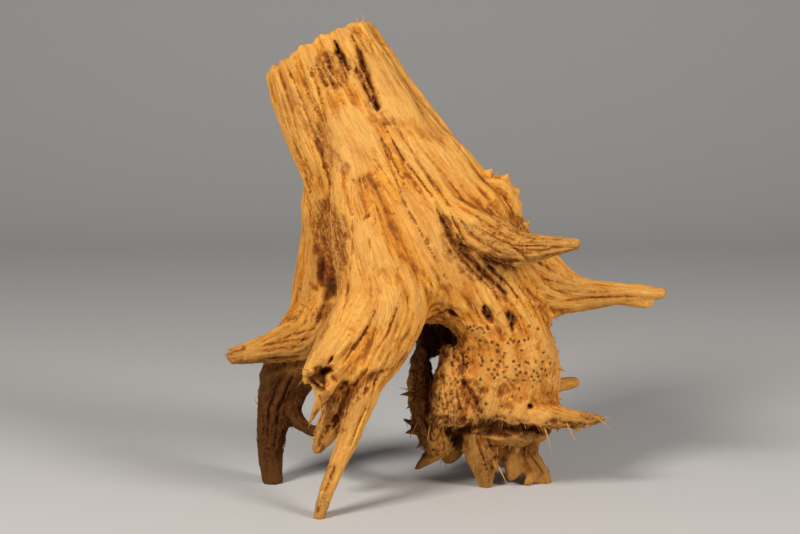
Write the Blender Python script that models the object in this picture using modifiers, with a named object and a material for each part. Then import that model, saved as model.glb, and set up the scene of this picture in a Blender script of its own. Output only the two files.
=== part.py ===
"""Aquarium driftwood root: one weathered, bleached conifer stump that stands on its broken root tips.

Blender 4.5 script, in metres, +Z up. The usual view looks along +Y, with +X to the viewer's right.
The wood grew as one piece, so it is one solid: every root is a fluted loft along its own route,
and all of them are fused into one skin. The skin is carved with cracks and hollows, thinned to few
faces, drawn out into thorns, and cut flat where it stands.
"""

import math
import random

import bmesh
import bpy
import numpy as np
from mathutils import Vector, noise
from mathutils.bvhtree import BVHTree
from mathutils.kdtree import KDTree

MM = 0.001

# The finish of bleached, sandblasted softwood.
WOOD_COLOUR = (0.62, 0.35, 0.12, 1.0)
WOOD_ROUGHNESS = 0.72

# How the lofts are made and fused, in metres.
ROUTE_STEP = 4 * MM
SIDE_WIDTH = 3.5 * MM
FEWEST_SIDES = 16
FLUTE_DEPTH = 0.10
VOXEL = 2.6 * MM
SMOOTHING_PASSES = 2
MOST_TRIANGLES = 11000

# How the wood fills the creases where limbs have grown together. It fills all of a crease above
# the high mark and a quarter of it below the low mark, and leaves the pocket by the front leg open.
FILL_PASSES = 2
FILL_ROUNDS = 110
SETTLING_ROUNDS = 4
SETTLING_RISE = 0.5 * MM
MOST_FILL = 14 * MM
LEAST_SHARE = 0.25
FILL_LOW = 130 * MM
FILL_HIGH = 180 * MM
POCKET_REACH = 26
# The burl's front has grown together as well: how far back, how far left and how low that reaches.
PLATE_SHARE = 0.9
PLATE_BACK = -5 * MM
PLATE_LEFT = -4 * MM
PLATE_FOOT = 74 * MM

# Stations along each limb, in millimetres: x, y, z, half width across the view, half depth.
STEM = {
    "trunk": [
        (-114, 18, 401, 53, 40),
        (-90, 14, 347, 62, 44),
        (-65, 10, 303, 69, 48),
        (-39, 4, 258, 79, 50),
        (-19, 0, 218, 83, 52),
        (-5, -2, 188, 74, 44),
        (2, -4, 173, 47, 34),
    ],
    "left_ridge": [
        (-97, 18, 333, 8, 14),
        (-111, 22, 283, 16, 24),
        (-112, 24, 247, 19, 27),
        (-113, 26, 219, 21, 28),
        (-114, 24, 178, 26, 30),
        (-113, 22, 145, 31, 30),
    ],
    "right_shoulder": [
        (-75, 12, 385, 15, 28),
        (-41, 10, 336, 16, 32),
        (-6, 8, 293, 22, 34),
        (29, 4, 264, 22, 32),
        (47, 4, 243, 20, 30),
        (63, 4, 213, 23, 30),
    ],
    "shoulder_knob": [
        (34, 0, 274, 14, 18),
        (50, 0, 272, 12, 14),
        (57, 0, 262, 9, 12),
        (61, 0, 246, 9, 12),
        (64, 0, 228, 9, 12),
    ],
    "rear_strand": [
        (-13, 44, 221, 31, 22),
        (-8, 56, 172, 28, 20),
        (0, 58, 148, 24, 17),
        (-14, 57, 129, 12, 13),
        (-24, 54, 112, 8, 12),
        (-26, 46, 93, 8, 12),
        (-21, 36, 72, 14, 16),
        (-11, 26, 46, 18, 18),
    ],
    "rear_rib": [
        (-92, 42, 386, 12, 14),
        (-74, 48, 340, 18, 16),
        (-50, 54, 290, 22, 18),
        (-20, 54, 236, 26, 20),
        (10, 46, 193, 26, 20),
        (30, 36, 158, 24, 22),
        (28, 40, 138, 20, 18),
    ],
    "rear_left_rib": [
        (-128, 36, 388, 12, 14),
        (-118, 46, 345, 15, 16),
        (-101, 52, 290, 18, 18),
        (-87, 56, 229, 22, 20),
        (-83, 50, 173, 26, 22),
        (-101, 40, 133, 22, 20),
    ],
}
FRONT_ROOTS = {
    "front_leg": [
        (-93, 2, 327, 13, 26),
        (-85, -14, 291, 20, 30),
        (-78, -28, 253, 27, 32),
        (-67, -38, 216, 33, 33),
        (-56, -46, 180, 40, 32),
        (-62, -56, 148, 33, 29),
        (-72, -68, 119, 23, 23),
        (-78, -78, 91, 14, 16),
        (-88, -88, 60, 9, 12),
        (-101, -95, 31, 8, 10),
        (-110, -101, 2, 6, 8),
        (-112, -102, -6, 6, 7),
    ],
    "broken_stub": [
        (-62, -46, 189, 26, 26),
        (-83, -62, 156, 25, 24),
        (-101, -76, 134, 20, 19),
        (-115, -87, 112, 16, 15),
    ],
    "stub_splinter": [
        (-104, -78, 112, 9, 7),
        (-111, -80, 95, 5, 5),
        (-121, -80, 75, 2, 2.5),
    ],
    "inner_stub": [
        (-83, -60, 112, 23, 20),
        (-95, -58, 86, 16, 16),
        (-105, -56, 68, 12, 12),
        (-112, -55, 52, 8, 8),
        (-114, -54, 45, 5, 6),
    ],
}
LEFT_ROOTS = {
    "left_stub": [
        (-100, 16, 170, 31, 30),
        (-121, 8, 142, 23, 23),
        (-146, 2, 132, 18, 18),
        (-169, -3, 126, 12, 13),
        (-188, -6, 122, 9, 9),
        (-195, -7, 121, 8, 8),
    ],
    "rear_left_leg": [
        (-113, 24, 150, 31, 28),
        (-133, 24, 122, 29, 24),
        (-148, 22, 92, 25, 21),
        (-157, 18, 67, 18, 17),
        (-160, 14, 39, 14, 14),
        (-160, 12, 15, 11, 12),
        (-157, 12, -10, 9, 10),
    ],
    "bridge": [
        (-150, 14, 72, 14, 12),
        (-134, 6, 58, 8, 7),
        (-120, -16, 55, 6, 6),
        (-105, -38, 60, 9, 8),
    ],
    "leg_web": [
        (-133, 20, 112, 12, 12),
        (-134, 16, 90, 11, 9),
        (-139, 12, 70, 8, 9),
    ],
}
RIGHT_ROOTS = {
    "upper_root": [
        (-37, -14, 291, 12, 18),
        (-13, -28, 266, 17, 19),
        (12, -38, 249, 20, 20),
        (37, -46, 235, 21, 20),
        (63, -56, 228, 16, 16),
        (88, -64, 230, 10, 12),
        (107, -70, 232, 7, 8),
        (113, -72, 232, 6, 7),
    ],
    "long_root": [
        (31, 0, 236, 27, 30),
        (63, 2, 203, 31, 30),
        (90, 4, 184, 30, 26),
        (117, 5, 177, 18, 18),
        (149, 5, 176, 11, 12),
        (176, 4, 178, 8, 8),
        (197, 3, 180, 4, 4),
    ],
    "long_root_finger": [
        (156, 4, 173, 6, 6),
        (176, 2, 169, 5, 5),
        (185, 1, 167, 3, 4),
        (189, 0, 169, 1, 2),
    ],
    "low_root": [
        (53, -20, 80, 21, 20),
        (80, -28, 75, 17, 16),
        (102, -30, 70, 11, 11),
        (124, -30, 68, 8, 7),
        (143, -30, 70, 3, 3),
    ],
    "side_peg": [
        (79, 22, 86, 10, 9),
        (102, 26, 88, 8, 7),
        (123, 30, 90, 6, 5),
    ],
}
BURL = {
    "burl": [
        (22, -2, 207, 54, 44),
        (38, -4, 173, 45, 40),
        (54, -6, 146, 38, 38),
        (59, -8, 121, 45, 38),
        (52, -8, 96, 54, 38),
        (45, -8, 76, 58, 38),
        (41, -2, 63, 52, 24),
        (37, -2, 47, 43, 18),
    ],
    "burl_plate": [
        (6, -10, 130, 11, 12),
        (5, -20, 115, 13, 16),
        (3, -26, 97, 18, 20),
        (3, -26, 80, 19, 18),
        (6, -22, 67, 16, 11),
    ],
    "burl_lobe": [
        (-20, 36, 138, 6, 12),
        (-21, 22, 126, 6, 12),
        (-20, 8, 114, 7, 14),
        (-20, 2, 98, 10, 16),
        (-19, -4, 80, 12, 22),
        (-16, -6, 62, 14, 22),
        (-11, -4, 45, 15, 18),
        (-4, 4, 30, 9, 10),
    ],
    "burl_back": [
        (51, 30, 139, 31, 22),
        (50, 36, 96, 42, 24),
        (43, 34, 58, 44, 22),
        (37, 26, 36, 27, 16),
    ],
}
FEET = {
    "foot_left": [
        (37, -4, 58, 23, 22),
        (34, -4, 34, 18, 18),
        (36, -3, 15, 11, 10),
        (38, -2, -2, 6, 7),
        (38, -2, -9, 5, 6),
    ],
    "foot_middle": [
        (56, 4, 46, 14, 16),
        (61, 0, 26, 10, 10),
        (62, -2, 13, 8, 8),
        (58, -3, 7, 4, 5),
    ],
    "foot_right": [
        (65, 6, 55, 22, 22),
        (69, 10, 33, 16, 17),
        (79, 12, 16, 13, 14),
        (89, 13, 3, 9, 10),
        (92, 13, -10, 7, 8),
    ],
    "foot_toe": [
        (81, 8, 16, 7, 7),
        (79, 2, 5, 5, 5),
        (73, -2, 2, 3, 3),
    ],
    "small_foot": [
        (1, 0, 43, 14, 16),
        (-12, -2, 30, 9, 9),
        (-28, -4, 16, 2, 3),
    ],
    "hidden_foot": [
        (7, 26, 41, 20, 18),
        (6, 28, 26, 14, 14),
        (4, 28, 15, 6, 8),
    ],
    "foot_rear": [
        (48, 36, 48, 26, 22),
        (60, 54, 27, 17, 16),
        (67, 68, 10, 10, 11),
        (69, 74, -7, 8, 8),
    ],
}
BACK_ROOTS = {
    "back_root": [
        (-55, 34, 232, 31, 24),
        (-60, 56, 172, 24, 22),
        (-70, 80, 115, 15, 15),
        (-80, 97, 73, 10, 10),
    ],
    "back_right_root": [
        (32, 24, 224, 27, 26),
        (50, 48, 174, 20, 20),
        (58, 74, 143, 13, 13),
        (63, 96, 120, 8, 8),
    ],
}
LIMBS = {**STEM, **FRONT_ROOTS, **LEFT_ROOTS, **RIGHT_ROOTS, **BURL, **FEET, **BACK_ROOTS}

# Limbs that end in a torn hollow: how deep it goes, in metres, and at which end of the route.
TORN_ENDS = {"trunk": (14 * MM, "start"), "broken_stub": (16 * MM, "end")}
RAGGED_RIM = 6 * MM
RIM_TEETH = 9 * MM
RIM_SLOPE = 0.08
RIM_BOW = 0.15

# Cracks, valleys and holes in the front, in millimetres: half width, depth, and the route as x, z.
# A route of one spot is a round hole.
GROOVES = {
    "left_flute": (4, 4, [(-150, 372), (-136, 324), (-121, 267)]),
    "left_middle_flute": (4, 4, [(-140, 383), (-127, 350), (-108, 298), (-103, 273)]),
    "left_fine_flute": (4, 3, [(-129, 392), (-115, 367), (-107, 341), (-99, 318)]),
    "top_notch": (5, 7, [(-99, 405), (-93, 392), (-86, 376)]),
    "torn_groove": (5, 7, [(-84, 411), (-75, 390), (-67, 365), (-60, 344)]),
    "long_crack": (4, 4, [(-57, 334), (-39, 302), (-9, 262), (11, 228), (40, 192)]),
    "middle_crack": (3, 3, [(-60, 326), (-52, 300), (-39, 264), (-14, 219), (6, 183)]),
    "torn_root": (7, 7, [(-9, 257), (5, 228), (31, 201), (56, 178)]),
    "pocket": (12, 14, [(-103, 268), (-101, 228), (-99, 197), (-103, 174)]),
    "under_upper_root": (8, 7, [(29, 218), (45, 209), (66, 209)]),
    "leg_valley": (7, 6, [(-59, 130), (-66, 117), (-81, 97), (-93, 79), (-101, 55)]),
    "leg_line": (4, 3, [(-39, 183), (-52, 147), (-73, 108), (-88, 73)]),
    "leg_fold": (4, 3, [(-59, 174), (-72, 147), (-91, 119), (-102, 108)]),
    "arch_brow": (4, 3, [(-14, 158), (2, 165), (18, 154)]),
    "burl_split": (4, 4, [(17, 101), (20, 89), (26, 74), (31, 66)]),
    "lobe_split": (4, 6, [(-14, 101), (-17, 82), (-17, 59), (-12, 41)]),
    "left_stub_upper_line": (3, 2.5, [(-120, 139), (-144, 137), (-174, 130)]),
    "left_stub_line": (3, 2.5, [(-131, 132), (-154, 129), (-181, 124)]),
    "left_stub_lower_line": (3, 2, [(-126, 124), (-147, 121), (-174, 118)]),
    "upper_root_line": (3, 2.5, [(29, 239), (57, 223), (93, 223)]),
    "long_root_line": (3, 2.5, [(84, 194), (116, 188), (161, 185)]),
    "long_root_lower_line": (3, 2, [(95, 171), (129, 176), (179, 178)]),
    "stub_end_hollow": (12, 8, [(-117, 106), (-105, 103)]),
    "stub_end_hole": (6, 14, [(-110, 107)]),
    "torn_pit": (5, 7, [(-61, 347)]),
    "brow_hole": (5, 6, [(5, 163)]),
    "middle_hole": (6, 9, [(38, 160)]),
    "right_hole": (6, 7, [(59, 154)]),
    "knot_hole": (5, 7, [(77, 76)]),
}
# A groove is cut into faces that look forward by at least this much of their normal.
FACING = 0.15

# The burl is lumpy inside this box, in metres; the lumps fade in over the last stretch of it.
BURL_LOW = Vector((-40, -60, 20)) * MM
BURL_HIGH = Vector((112, 70, 158)) * MM
BURL_FADE = 16 * MM
LUMP_SIZE = 13 * MM
LUMP_HEIGHT = 2.5 * MM

# Thorns along the burl's outline, in millimetres: foot x, y, z and tip x, y, z.
THORNS = [
    (-30, 0, 87, -46, -2, 85),
    (-28, -4, 76, -38, -8, 70),
    (-28, -2, 62, -38, -4, 57),
    (-28, 4, 102, -36, 6, 109),
    (-6, 2, 124, -14, 2, 130),
    (95, 6, 131, 107, 8, 136),
    (99, 2, 119, 108, 0, 119),
    (99, 8, 106, 107, 10, 110),
    (95, -6, 90, 103, -10, 84),
    (92, 10, 145, 101, 14, 149),
    (86, -34, 62, 94, -37, 48),
    (46, -14, 26, 52, -24, 13),
    (116, -30, 62, 121, -33, 54),
]
# Thorns that hang from the burl's lower lip, and short ones scattered over the whole burl.
LIP_THORNS = 14
LIP_CENTRE = Vector((42, 4, 72)) * MM
REACH = 200 * MM
MOST_THORNS = 110
THORN_GAP = 8.5 * MM
# The flat front of the burl has shorter ones.
FRONT_THORN_SHARE = 0.45
FRONT_FACING = -0.5


def clear_scene():
    """An empty file, whatever Blender opened with."""
    for old in list(bpy.data.objects):
        bpy.data.objects.remove(old, do_unlink=True)


def catmull_rom(before, start, end, after, share):
    """The value a share of the way from start to end, on a smooth curve through all four."""
    return 0.5 * (
        2 * start
        + (end - before) * share
        + (2 * before - 5 * start + 4 * end - after) * share**2
        + (3 * start - before - 3 * end + after) * share**3
    )


def route(stations):
    """Even steps along a limb: the centre, the half width and the half depth, all in metres."""
    rows = [[value * MM for value in station] for station in stations]
    rows = [rows[0], *rows, rows[-1]]
    steps = []
    for before, start, end, after in zip(rows, rows[1:], rows[2:], rows[3:]):
        count = max(2, round((Vector(end[:3]) - Vector(start[:3])).length / ROUTE_STEP))
        for i in range(count):
            values = [catmull_rom(*four, i / count) for four in zip(before, start, end, after)]
            steps.append((Vector(values[:3]), values[3], values[4]))
    steps.append((Vector(rows[-1][:3]), rows[-1][3], rows[-1][4]))
    return steps


def flute(cosine, sine, run, seed):
    """Rounded ribs with sharp grooves between them, running with the grain: from -1 to 0."""
    around, along = 1.7, 1 / 0.11
    value = noise.noise(Vector((cosine * around + seed, sine * around - seed, run * along)))
    return min(1.0, abs(value) * 4.5) - 1.0


def loft(name, stations, seed):
    """One limb as a closed, fluted tube whose oval section changes along its route."""
    steps = route(stations)
    widest = max(max(half_width, half_depth) for _, half_width, half_depth in steps)
    sides = max(FEWEST_SIDES, round(2 * math.pi * widest / SIDE_WIDTH))
    shape = bmesh.new()
    rings = []
    run = 0.0
    for i, (centre, half_width, half_depth) in enumerate(steps):
        ahead = steps[min(i + 1, len(steps) - 1)][0]
        behind = steps[max(i - 1, 0)][0]
        along = (ahead - behind).normalized()
        across = Vector((0, 1, 0)).cross(along).normalized()
        through = along.cross(across)
        run += (centre - behind).length
        ring = []
        for side in range(sides):
            turn = 2 * math.pi * side / sides
            swell = 1 + FLUTE_DEPTH * flute(math.cos(turn), math.sin(turn), run, seed)
            spot = across * (half_width * math.cos(turn) * swell)
            spot += through * (half_depth * math.sin(turn) * swell)
            ring.append(shape.verts.new(centre + spot))
        rings.append((ring, centre, along))
    for (low, _, _), (high, _, _) in zip(rings, rings[1:]):
        for i in range(sides):
            j = (i + 1) % sides
            shape.faces.new((low[i], low[j], high[j], high[i]))
    hollow, end = TORN_ENDS.get(name, (0.0, None))
    close_end(shape, *rings[0], -1, hollow if end == "start" else 0.0)
    close_end(shape, *rings[-1], 1, hollow if end == "end" else 0.0)
    bmesh.ops.recalc_face_normals(shape, faces=shape.faces)
    mesh = bpy.data.meshes.new(name)
    shape.to_mesh(mesh)
    shape.free()
    return mesh


def close_end(shape, ring, centre, along, way, hollow):
    """Closes a tube with a low dome, or with a ragged rim round a torn hollow."""
    radius = (ring[0].co - centre).length
    if hollow:
        inner = ((0.82, 0.0), (0.66, -0.6 * hollow), (0.4, -hollow))
        for vertex in ring:
            tear = noise.noise(vertex.co / RIM_TEETH) * RAGGED_RIM
            across = (vertex.co.x - centre.x) / radius
            bow = radius * ((across - 1) * RIM_SLOPE + (1 - across**2) * RIM_BOW)
            vertex.co += along * (way * (tear + bow))
    else:
        inner = ((0.82, 0.16 * radius), (0.5, 0.3 * radius))
    last = ring
    for share, rise in inner:
        spots = [centre + (v.co - centre) * share + along * (way * rise) for v in ring]
        fresh = [shape.verts.new(spot) for spot in spots]
        for i in range(len(ring)):
            j = (i + 1) % len(ring)
            shape.faces.new((last[i], last[j], fresh[j], fresh[i]))
        last = fresh
    shape.faces.new(last)


def applied_mesh(thing):
    """A plain mesh of the object with its modifiers applied."""
    graph = bpy.context.evaluated_depsgraph_get()
    return bpy.data.meshes.new_from_object(thing.evaluated_get(graph), depsgraph=graph)


def fuse(meshes):
    """All the lofts in one closed skin, with the creases between them softened."""
    joined = bmesh.new()
    for mesh in meshes:
        joined.from_mesh(mesh)
    shell = bpy.data.meshes.new("lofts")
    joined.to_mesh(shell)
    joined.free()
    body = bpy.data.objects.new("driftwood_root", shell)
    bpy.context.scene.collection.objects.link(body)
    remesh = body.modifiers.new("fuse", "REMESH")
    remesh.mode = "VOXEL"
    remesh.voxel_size = VOXEL
    soften = body.modifiers.new("soften", "SMOOTH")
    soften.factor = 0.5
    soften.iterations = SMOOTHING_PASSES
    body.data = applied_mesh(body)
    body.modifiers.clear()
    return body


def relaxed(spots, edges, rounds):
    """The spots after each has moved, round after round, to the mean of its neighbours."""
    first, second = edges[:, 0], edges[:, 1]
    neighbours = np.bincount(edges.ravel(), minlength=len(spots))
    for _ in range(rounds):
        columns = []
        for column in spots.T:
            total = np.bincount(first, column[second], len(column))
            total += np.bincount(second, column[first], len(column))
            columns.append(total / neighbours)
        spots = np.stack(columns, axis=1)
    return spots


def fill_share(spot):
    """How much of a crease is filled at a spot, 0 to 1."""
    rise = (spot[2] - FILL_LOW) / (FILL_HIGH - FILL_LOW)
    share = LEAST_SHARE + (1 - LEAST_SHARE) * min(1.0, max(0.0, rise))
    if spot[1] < PLATE_BACK and spot[0] > PLATE_LEFT and spot[2] > PLATE_FOOT:
        share = max(share, PLATE_SHARE)
    away, _ = place_on_route(spot[0] / MM, spot[2] / MM, GROOVES["pocket"][2])
    return share * min(1.0, away / POCKET_REACH)


def fill_creases(body):
    """Raises the skin in the creases between the limbs, and never lowers it."""
    mesh = body.data
    edges = np.array([edge.vertices[:] for edge in mesh.edges])
    for _ in range(FILL_PASSES):
        spots = np.array([vertex.co for vertex in mesh.vertices])
        normals = np.array([vertex.normal for vertex in mesh.vertices])
        shares = np.array([fill_share(spot) for spot in spots])
        rise = ((relaxed(spots, edges, FILL_ROUNDS) - spots) * normals).sum(axis=1)
        rise = np.clip(rise, 0, MOST_FILL) * shares
        filled = spots + normals * rise[:, None]
        settled = relaxed(filled, edges, SETTLING_ROUNDS)
        filled += (settled - filled) * np.clip(rise / SETTLING_RISE, 0, 1)[:, None]
        mesh.vertices.foreach_set("co", filled.ravel())
        mesh.update()


def place_on_route(x, z, spots):
    """How far a place in the front view is from a groove's route, and how far along it, 0 to 1."""
    if len(spots) == 1:
        return math.hypot(x - spots[0][0], z - spots[0][1]), 0.5
    nearest, place = math.inf, 0.0
    for i, ((x0, z0), (x1, z1)) in enumerate(zip(spots, spots[1:])):
        dx, dz = x1 - x0, z1 - z0
        share = ((x - x0) * dx + (z - z0) * dz) / (dx * dx + dz * dz)
        share = min(1.0, max(0.0, share))
        away = math.hypot(x - x0 - share * dx, z - z0 - share * dz)
        if away < nearest:
            nearest, place = away, (i + share) / (len(spots) - 1)
    return nearest, place


def groove_depth(x, z):
    """The depth of the deepest groove at a place in the front view, all in millimetres."""
    deepest = 0.0
    for half_width, depth, spots in GROOVES.values():
        away, place = place_on_route(x, z, spots)
        taper = math.sqrt(max(0.0, math.sin(math.pi * place)))
        wave = 1 + 0.3 * noise.noise(Vector((x, z, depth)) / 12)
        deepest = max(deepest, depth * taper * wave * (1 - away / half_width))
    return deepest


def burl_share(spot):
    """1 well inside the burl's box, 0 outside it."""
    inside = min(min(spot[i] - BURL_LOW[i], BURL_HIGH[i] - spot[i]) for i in range(3))
    return min(1.0, max(0.0, inside / BURL_FADE))


def carve(body):
    """Cuts the grooves and holes into the front, and raises the lumps of the burl."""
    moves = []
    for vertex in body.data.vertices:
        spot, normal = vertex.co, vertex.normal
        move = Vector((0, 0, 0))
        if normal.y < -FACING:
            move.y += groove_depth(spot.x / MM, spot.z / MM) * MM
        lump = noise.noise(spot / LUMP_SIZE) + 0.5 * noise.noise(spot / (0.45 * LUMP_SIZE))
        move += normal * (lump * LUMP_HEIGHT * burl_share(spot))
        moves.append(move)
    for vertex, move in zip(body.data.vertices, moves):
        vertex.co += move


def thin(body):
    """Fewer faces, kept where the form turns."""
    body.data.calc_loop_triangles()
    fewer = body.modifiers.new("thin", "DECIMATE")
    fewer.ratio = MOST_TRIANGLES / len(body.data.loop_triangles)
    fewer.use_collapse_triangulate = True
    body.data = applied_mesh(body)
    body.modifiers.clear()


def lip_thorns(skin):
    """Where thorns hang from the burl's lower lip, all the way round: foot and tip."""
    thorns = []
    for i in range(LIP_THORNS):
        turn = 2 * math.pi * (i + random.uniform(-0.2, 0.2)) / LIP_THORNS
        out = Vector((math.cos(turn), math.sin(turn), 0))
        height = Vector((0, 0, random.uniform(-4, 4) * MM))
        foot, _, _, _ = skin.ray_cast(LIP_CENTRE + height + out * REACH, -out)
        if foot is not None:
            way = (out * 0.7 + Vector((0, 0, -1))).normalized()
            thorns.append((foot, foot + way * random.uniform(4, 8) * MM))
    return thorns


def grow_thorns(body):
    """Pulls single vertices of the skin out into thorns, none beside another."""
    vertices = body.data.vertices
    skin = BVHTree.FromObject(body, bpy.context.evaluated_depsgraph_get())
    nearest = KDTree(len(vertices))
    for vertex in vertices:
        nearest.insert(vertex.co, vertex.index)
    nearest.balance()
    thorns = [(Vector(row[:3]) * MM, Vector(row[3:]) * MM) for row in THORNS]
    thorns += lip_thorns(skin)
    burl = [vertex for vertex in vertices if burl_share(vertex.co) > 0.6]
    for vertex in random.sample(burl, len(burl)):
        way = (vertex.normal + Vector((0, 0, random.uniform(-0.4, 0.1)))).normalized()
        share = FRONT_THORN_SHARE if vertex.normal.y < FRONT_FACING else 1.0
        thorns.append((vertex.co.copy(), vertex.co + way * share * random.uniform(2, 4.5) * MM))
    planted = []
    for foot, tip in thorns:
        if len(planted) == MOST_THORNS:
            break
        spot, index, _ = nearest.find(foot)
        if all((spot - other).length > THORN_GAP for other in planted):
            planted.append(spot)
            vertices[index].co = tip


def cut_feet(body):
    """Cuts away what is under the surface it stands on, which leaves a small flat spot on each foot."""
    shape = bmesh.new()
    shape.from_mesh(body.data)
    everything = shape.verts[:] + shape.edges[:] + shape.faces[:]
    cut = bmesh.ops.bisect_plane(
        shape,
        geom=everything,
        plane_co=(0, 0, 0),
        plane_no=(0, 0, -1),
        clear_outer=True,
    )
    rim = [item for item in cut["geom_cut"] if isinstance(item, bmesh.types.BMEdge)]
    bmesh.ops.holes_fill(shape, edges=rim)
    bmesh.ops.recalc_face_normals(shape, faces=shape.faces)
    shape.to_mesh(body.data)
    shape.free()


def centre_over_origin(body):
    """Moves the root sideways until the middle of its extents is over the origin."""
    for axis in (0, 1):
        values = [vertex.co[axis] for vertex in body.data.vertices]
        middle = (min(values) + max(values)) / 2
        for vertex in body.data.vertices:
            vertex.co[axis] -= middle


def wood():
    """Pale, dry softwood."""
    material = bpy.data.materials.new("bleached_wood")
    material.use_nodes = True
    surface = material.node_tree.nodes["Principled BSDF"]
    surface.inputs["Base Color"].default_value = WOOD_COLOUR
    surface.inputs["Roughness"].default_value = WOOD_ROUGHNESS
    surface.inputs["Metallic"].default_value = 0.0
    return material


def main():
    clear_scene()
    random.seed(7)
    meshes = [loft(name, LIMBS[name], 3.1 * i) for i, name in enumerate(LIMBS)]
    body = fuse(meshes)
    fill_creases(body)
    carve(body)
    thin(body)
    grow_thorns(body)
    cut_feet(body)
    centre_over_origin(body)
    body.data.materials.append(wood())
    parts = bpy.data.collections.new("driftwood_root_parts")
    bpy.context.scene.collection.children.link(parts)
    bpy.context.scene.collection.objects.unlink(body)
    parts.objects.link(body)


main()
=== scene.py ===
import math
import random

import bmesh
import bpy
import numpy as np
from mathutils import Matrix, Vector, noise
from mathutils.bvhtree import BVHTree


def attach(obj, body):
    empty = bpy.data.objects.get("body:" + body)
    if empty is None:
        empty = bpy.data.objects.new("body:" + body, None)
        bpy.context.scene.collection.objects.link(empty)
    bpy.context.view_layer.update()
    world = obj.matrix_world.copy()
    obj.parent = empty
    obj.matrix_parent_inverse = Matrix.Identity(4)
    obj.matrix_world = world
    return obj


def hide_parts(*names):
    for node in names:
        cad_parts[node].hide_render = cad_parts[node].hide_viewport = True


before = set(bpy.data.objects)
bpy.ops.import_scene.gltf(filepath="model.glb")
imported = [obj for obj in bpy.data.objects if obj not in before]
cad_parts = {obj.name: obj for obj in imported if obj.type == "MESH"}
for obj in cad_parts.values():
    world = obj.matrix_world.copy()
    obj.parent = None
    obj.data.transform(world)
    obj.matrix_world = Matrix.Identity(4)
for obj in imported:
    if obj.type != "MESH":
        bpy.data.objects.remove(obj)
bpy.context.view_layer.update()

# The view: a long lens a little above the root, looking slightly down on it from the front.
# The root stands in the middle of the frame, with its lowest tip near the lower edge.
VIEW_DISTANCE = 1.60
VIEW_HEIGHT_ANGLE = math.radians(8.5)
VIEW_CENTRE = Vector((-0.0413, 0.0015, 0.2025))
LENS_MM = 80.0
SENSOR_MM = 36.0


def placed(name, data):
    """A new object, put in the scene."""
    thing = bpy.data.objects.new(name, data)
    bpy.context.scene.collection.objects.link(thing)
    return thing


back_off = Vector((0.0, -math.cos(VIEW_HEIGHT_ANGLE), math.sin(VIEW_HEIGHT_ANGLE)))
camera_data = bpy.data.cameras.new("front_view")
camera_data.lens = LENS_MM
camera_data.sensor_width = SENSOR_MM
camera = placed("front_view", camera_data)
camera.location = VIEW_CENTRE + VIEW_DISTANCE * back_off
camera.rotation_euler = (math.radians(90) - VIEW_HEIGHT_ANGLE, 0.0, 0.0)
bpy.context.scene.camera = camera

# The root: one weathered conifer stump, its bark gone, with every limb grown from the same wood.
# Each limb is a fluted oval tube along its own route, and all the tubes are fused into one skin,
# which is then carved with ridges along the grain, cracks, hollows and the burl's lumps and thorns.
MM = 0.001

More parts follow.
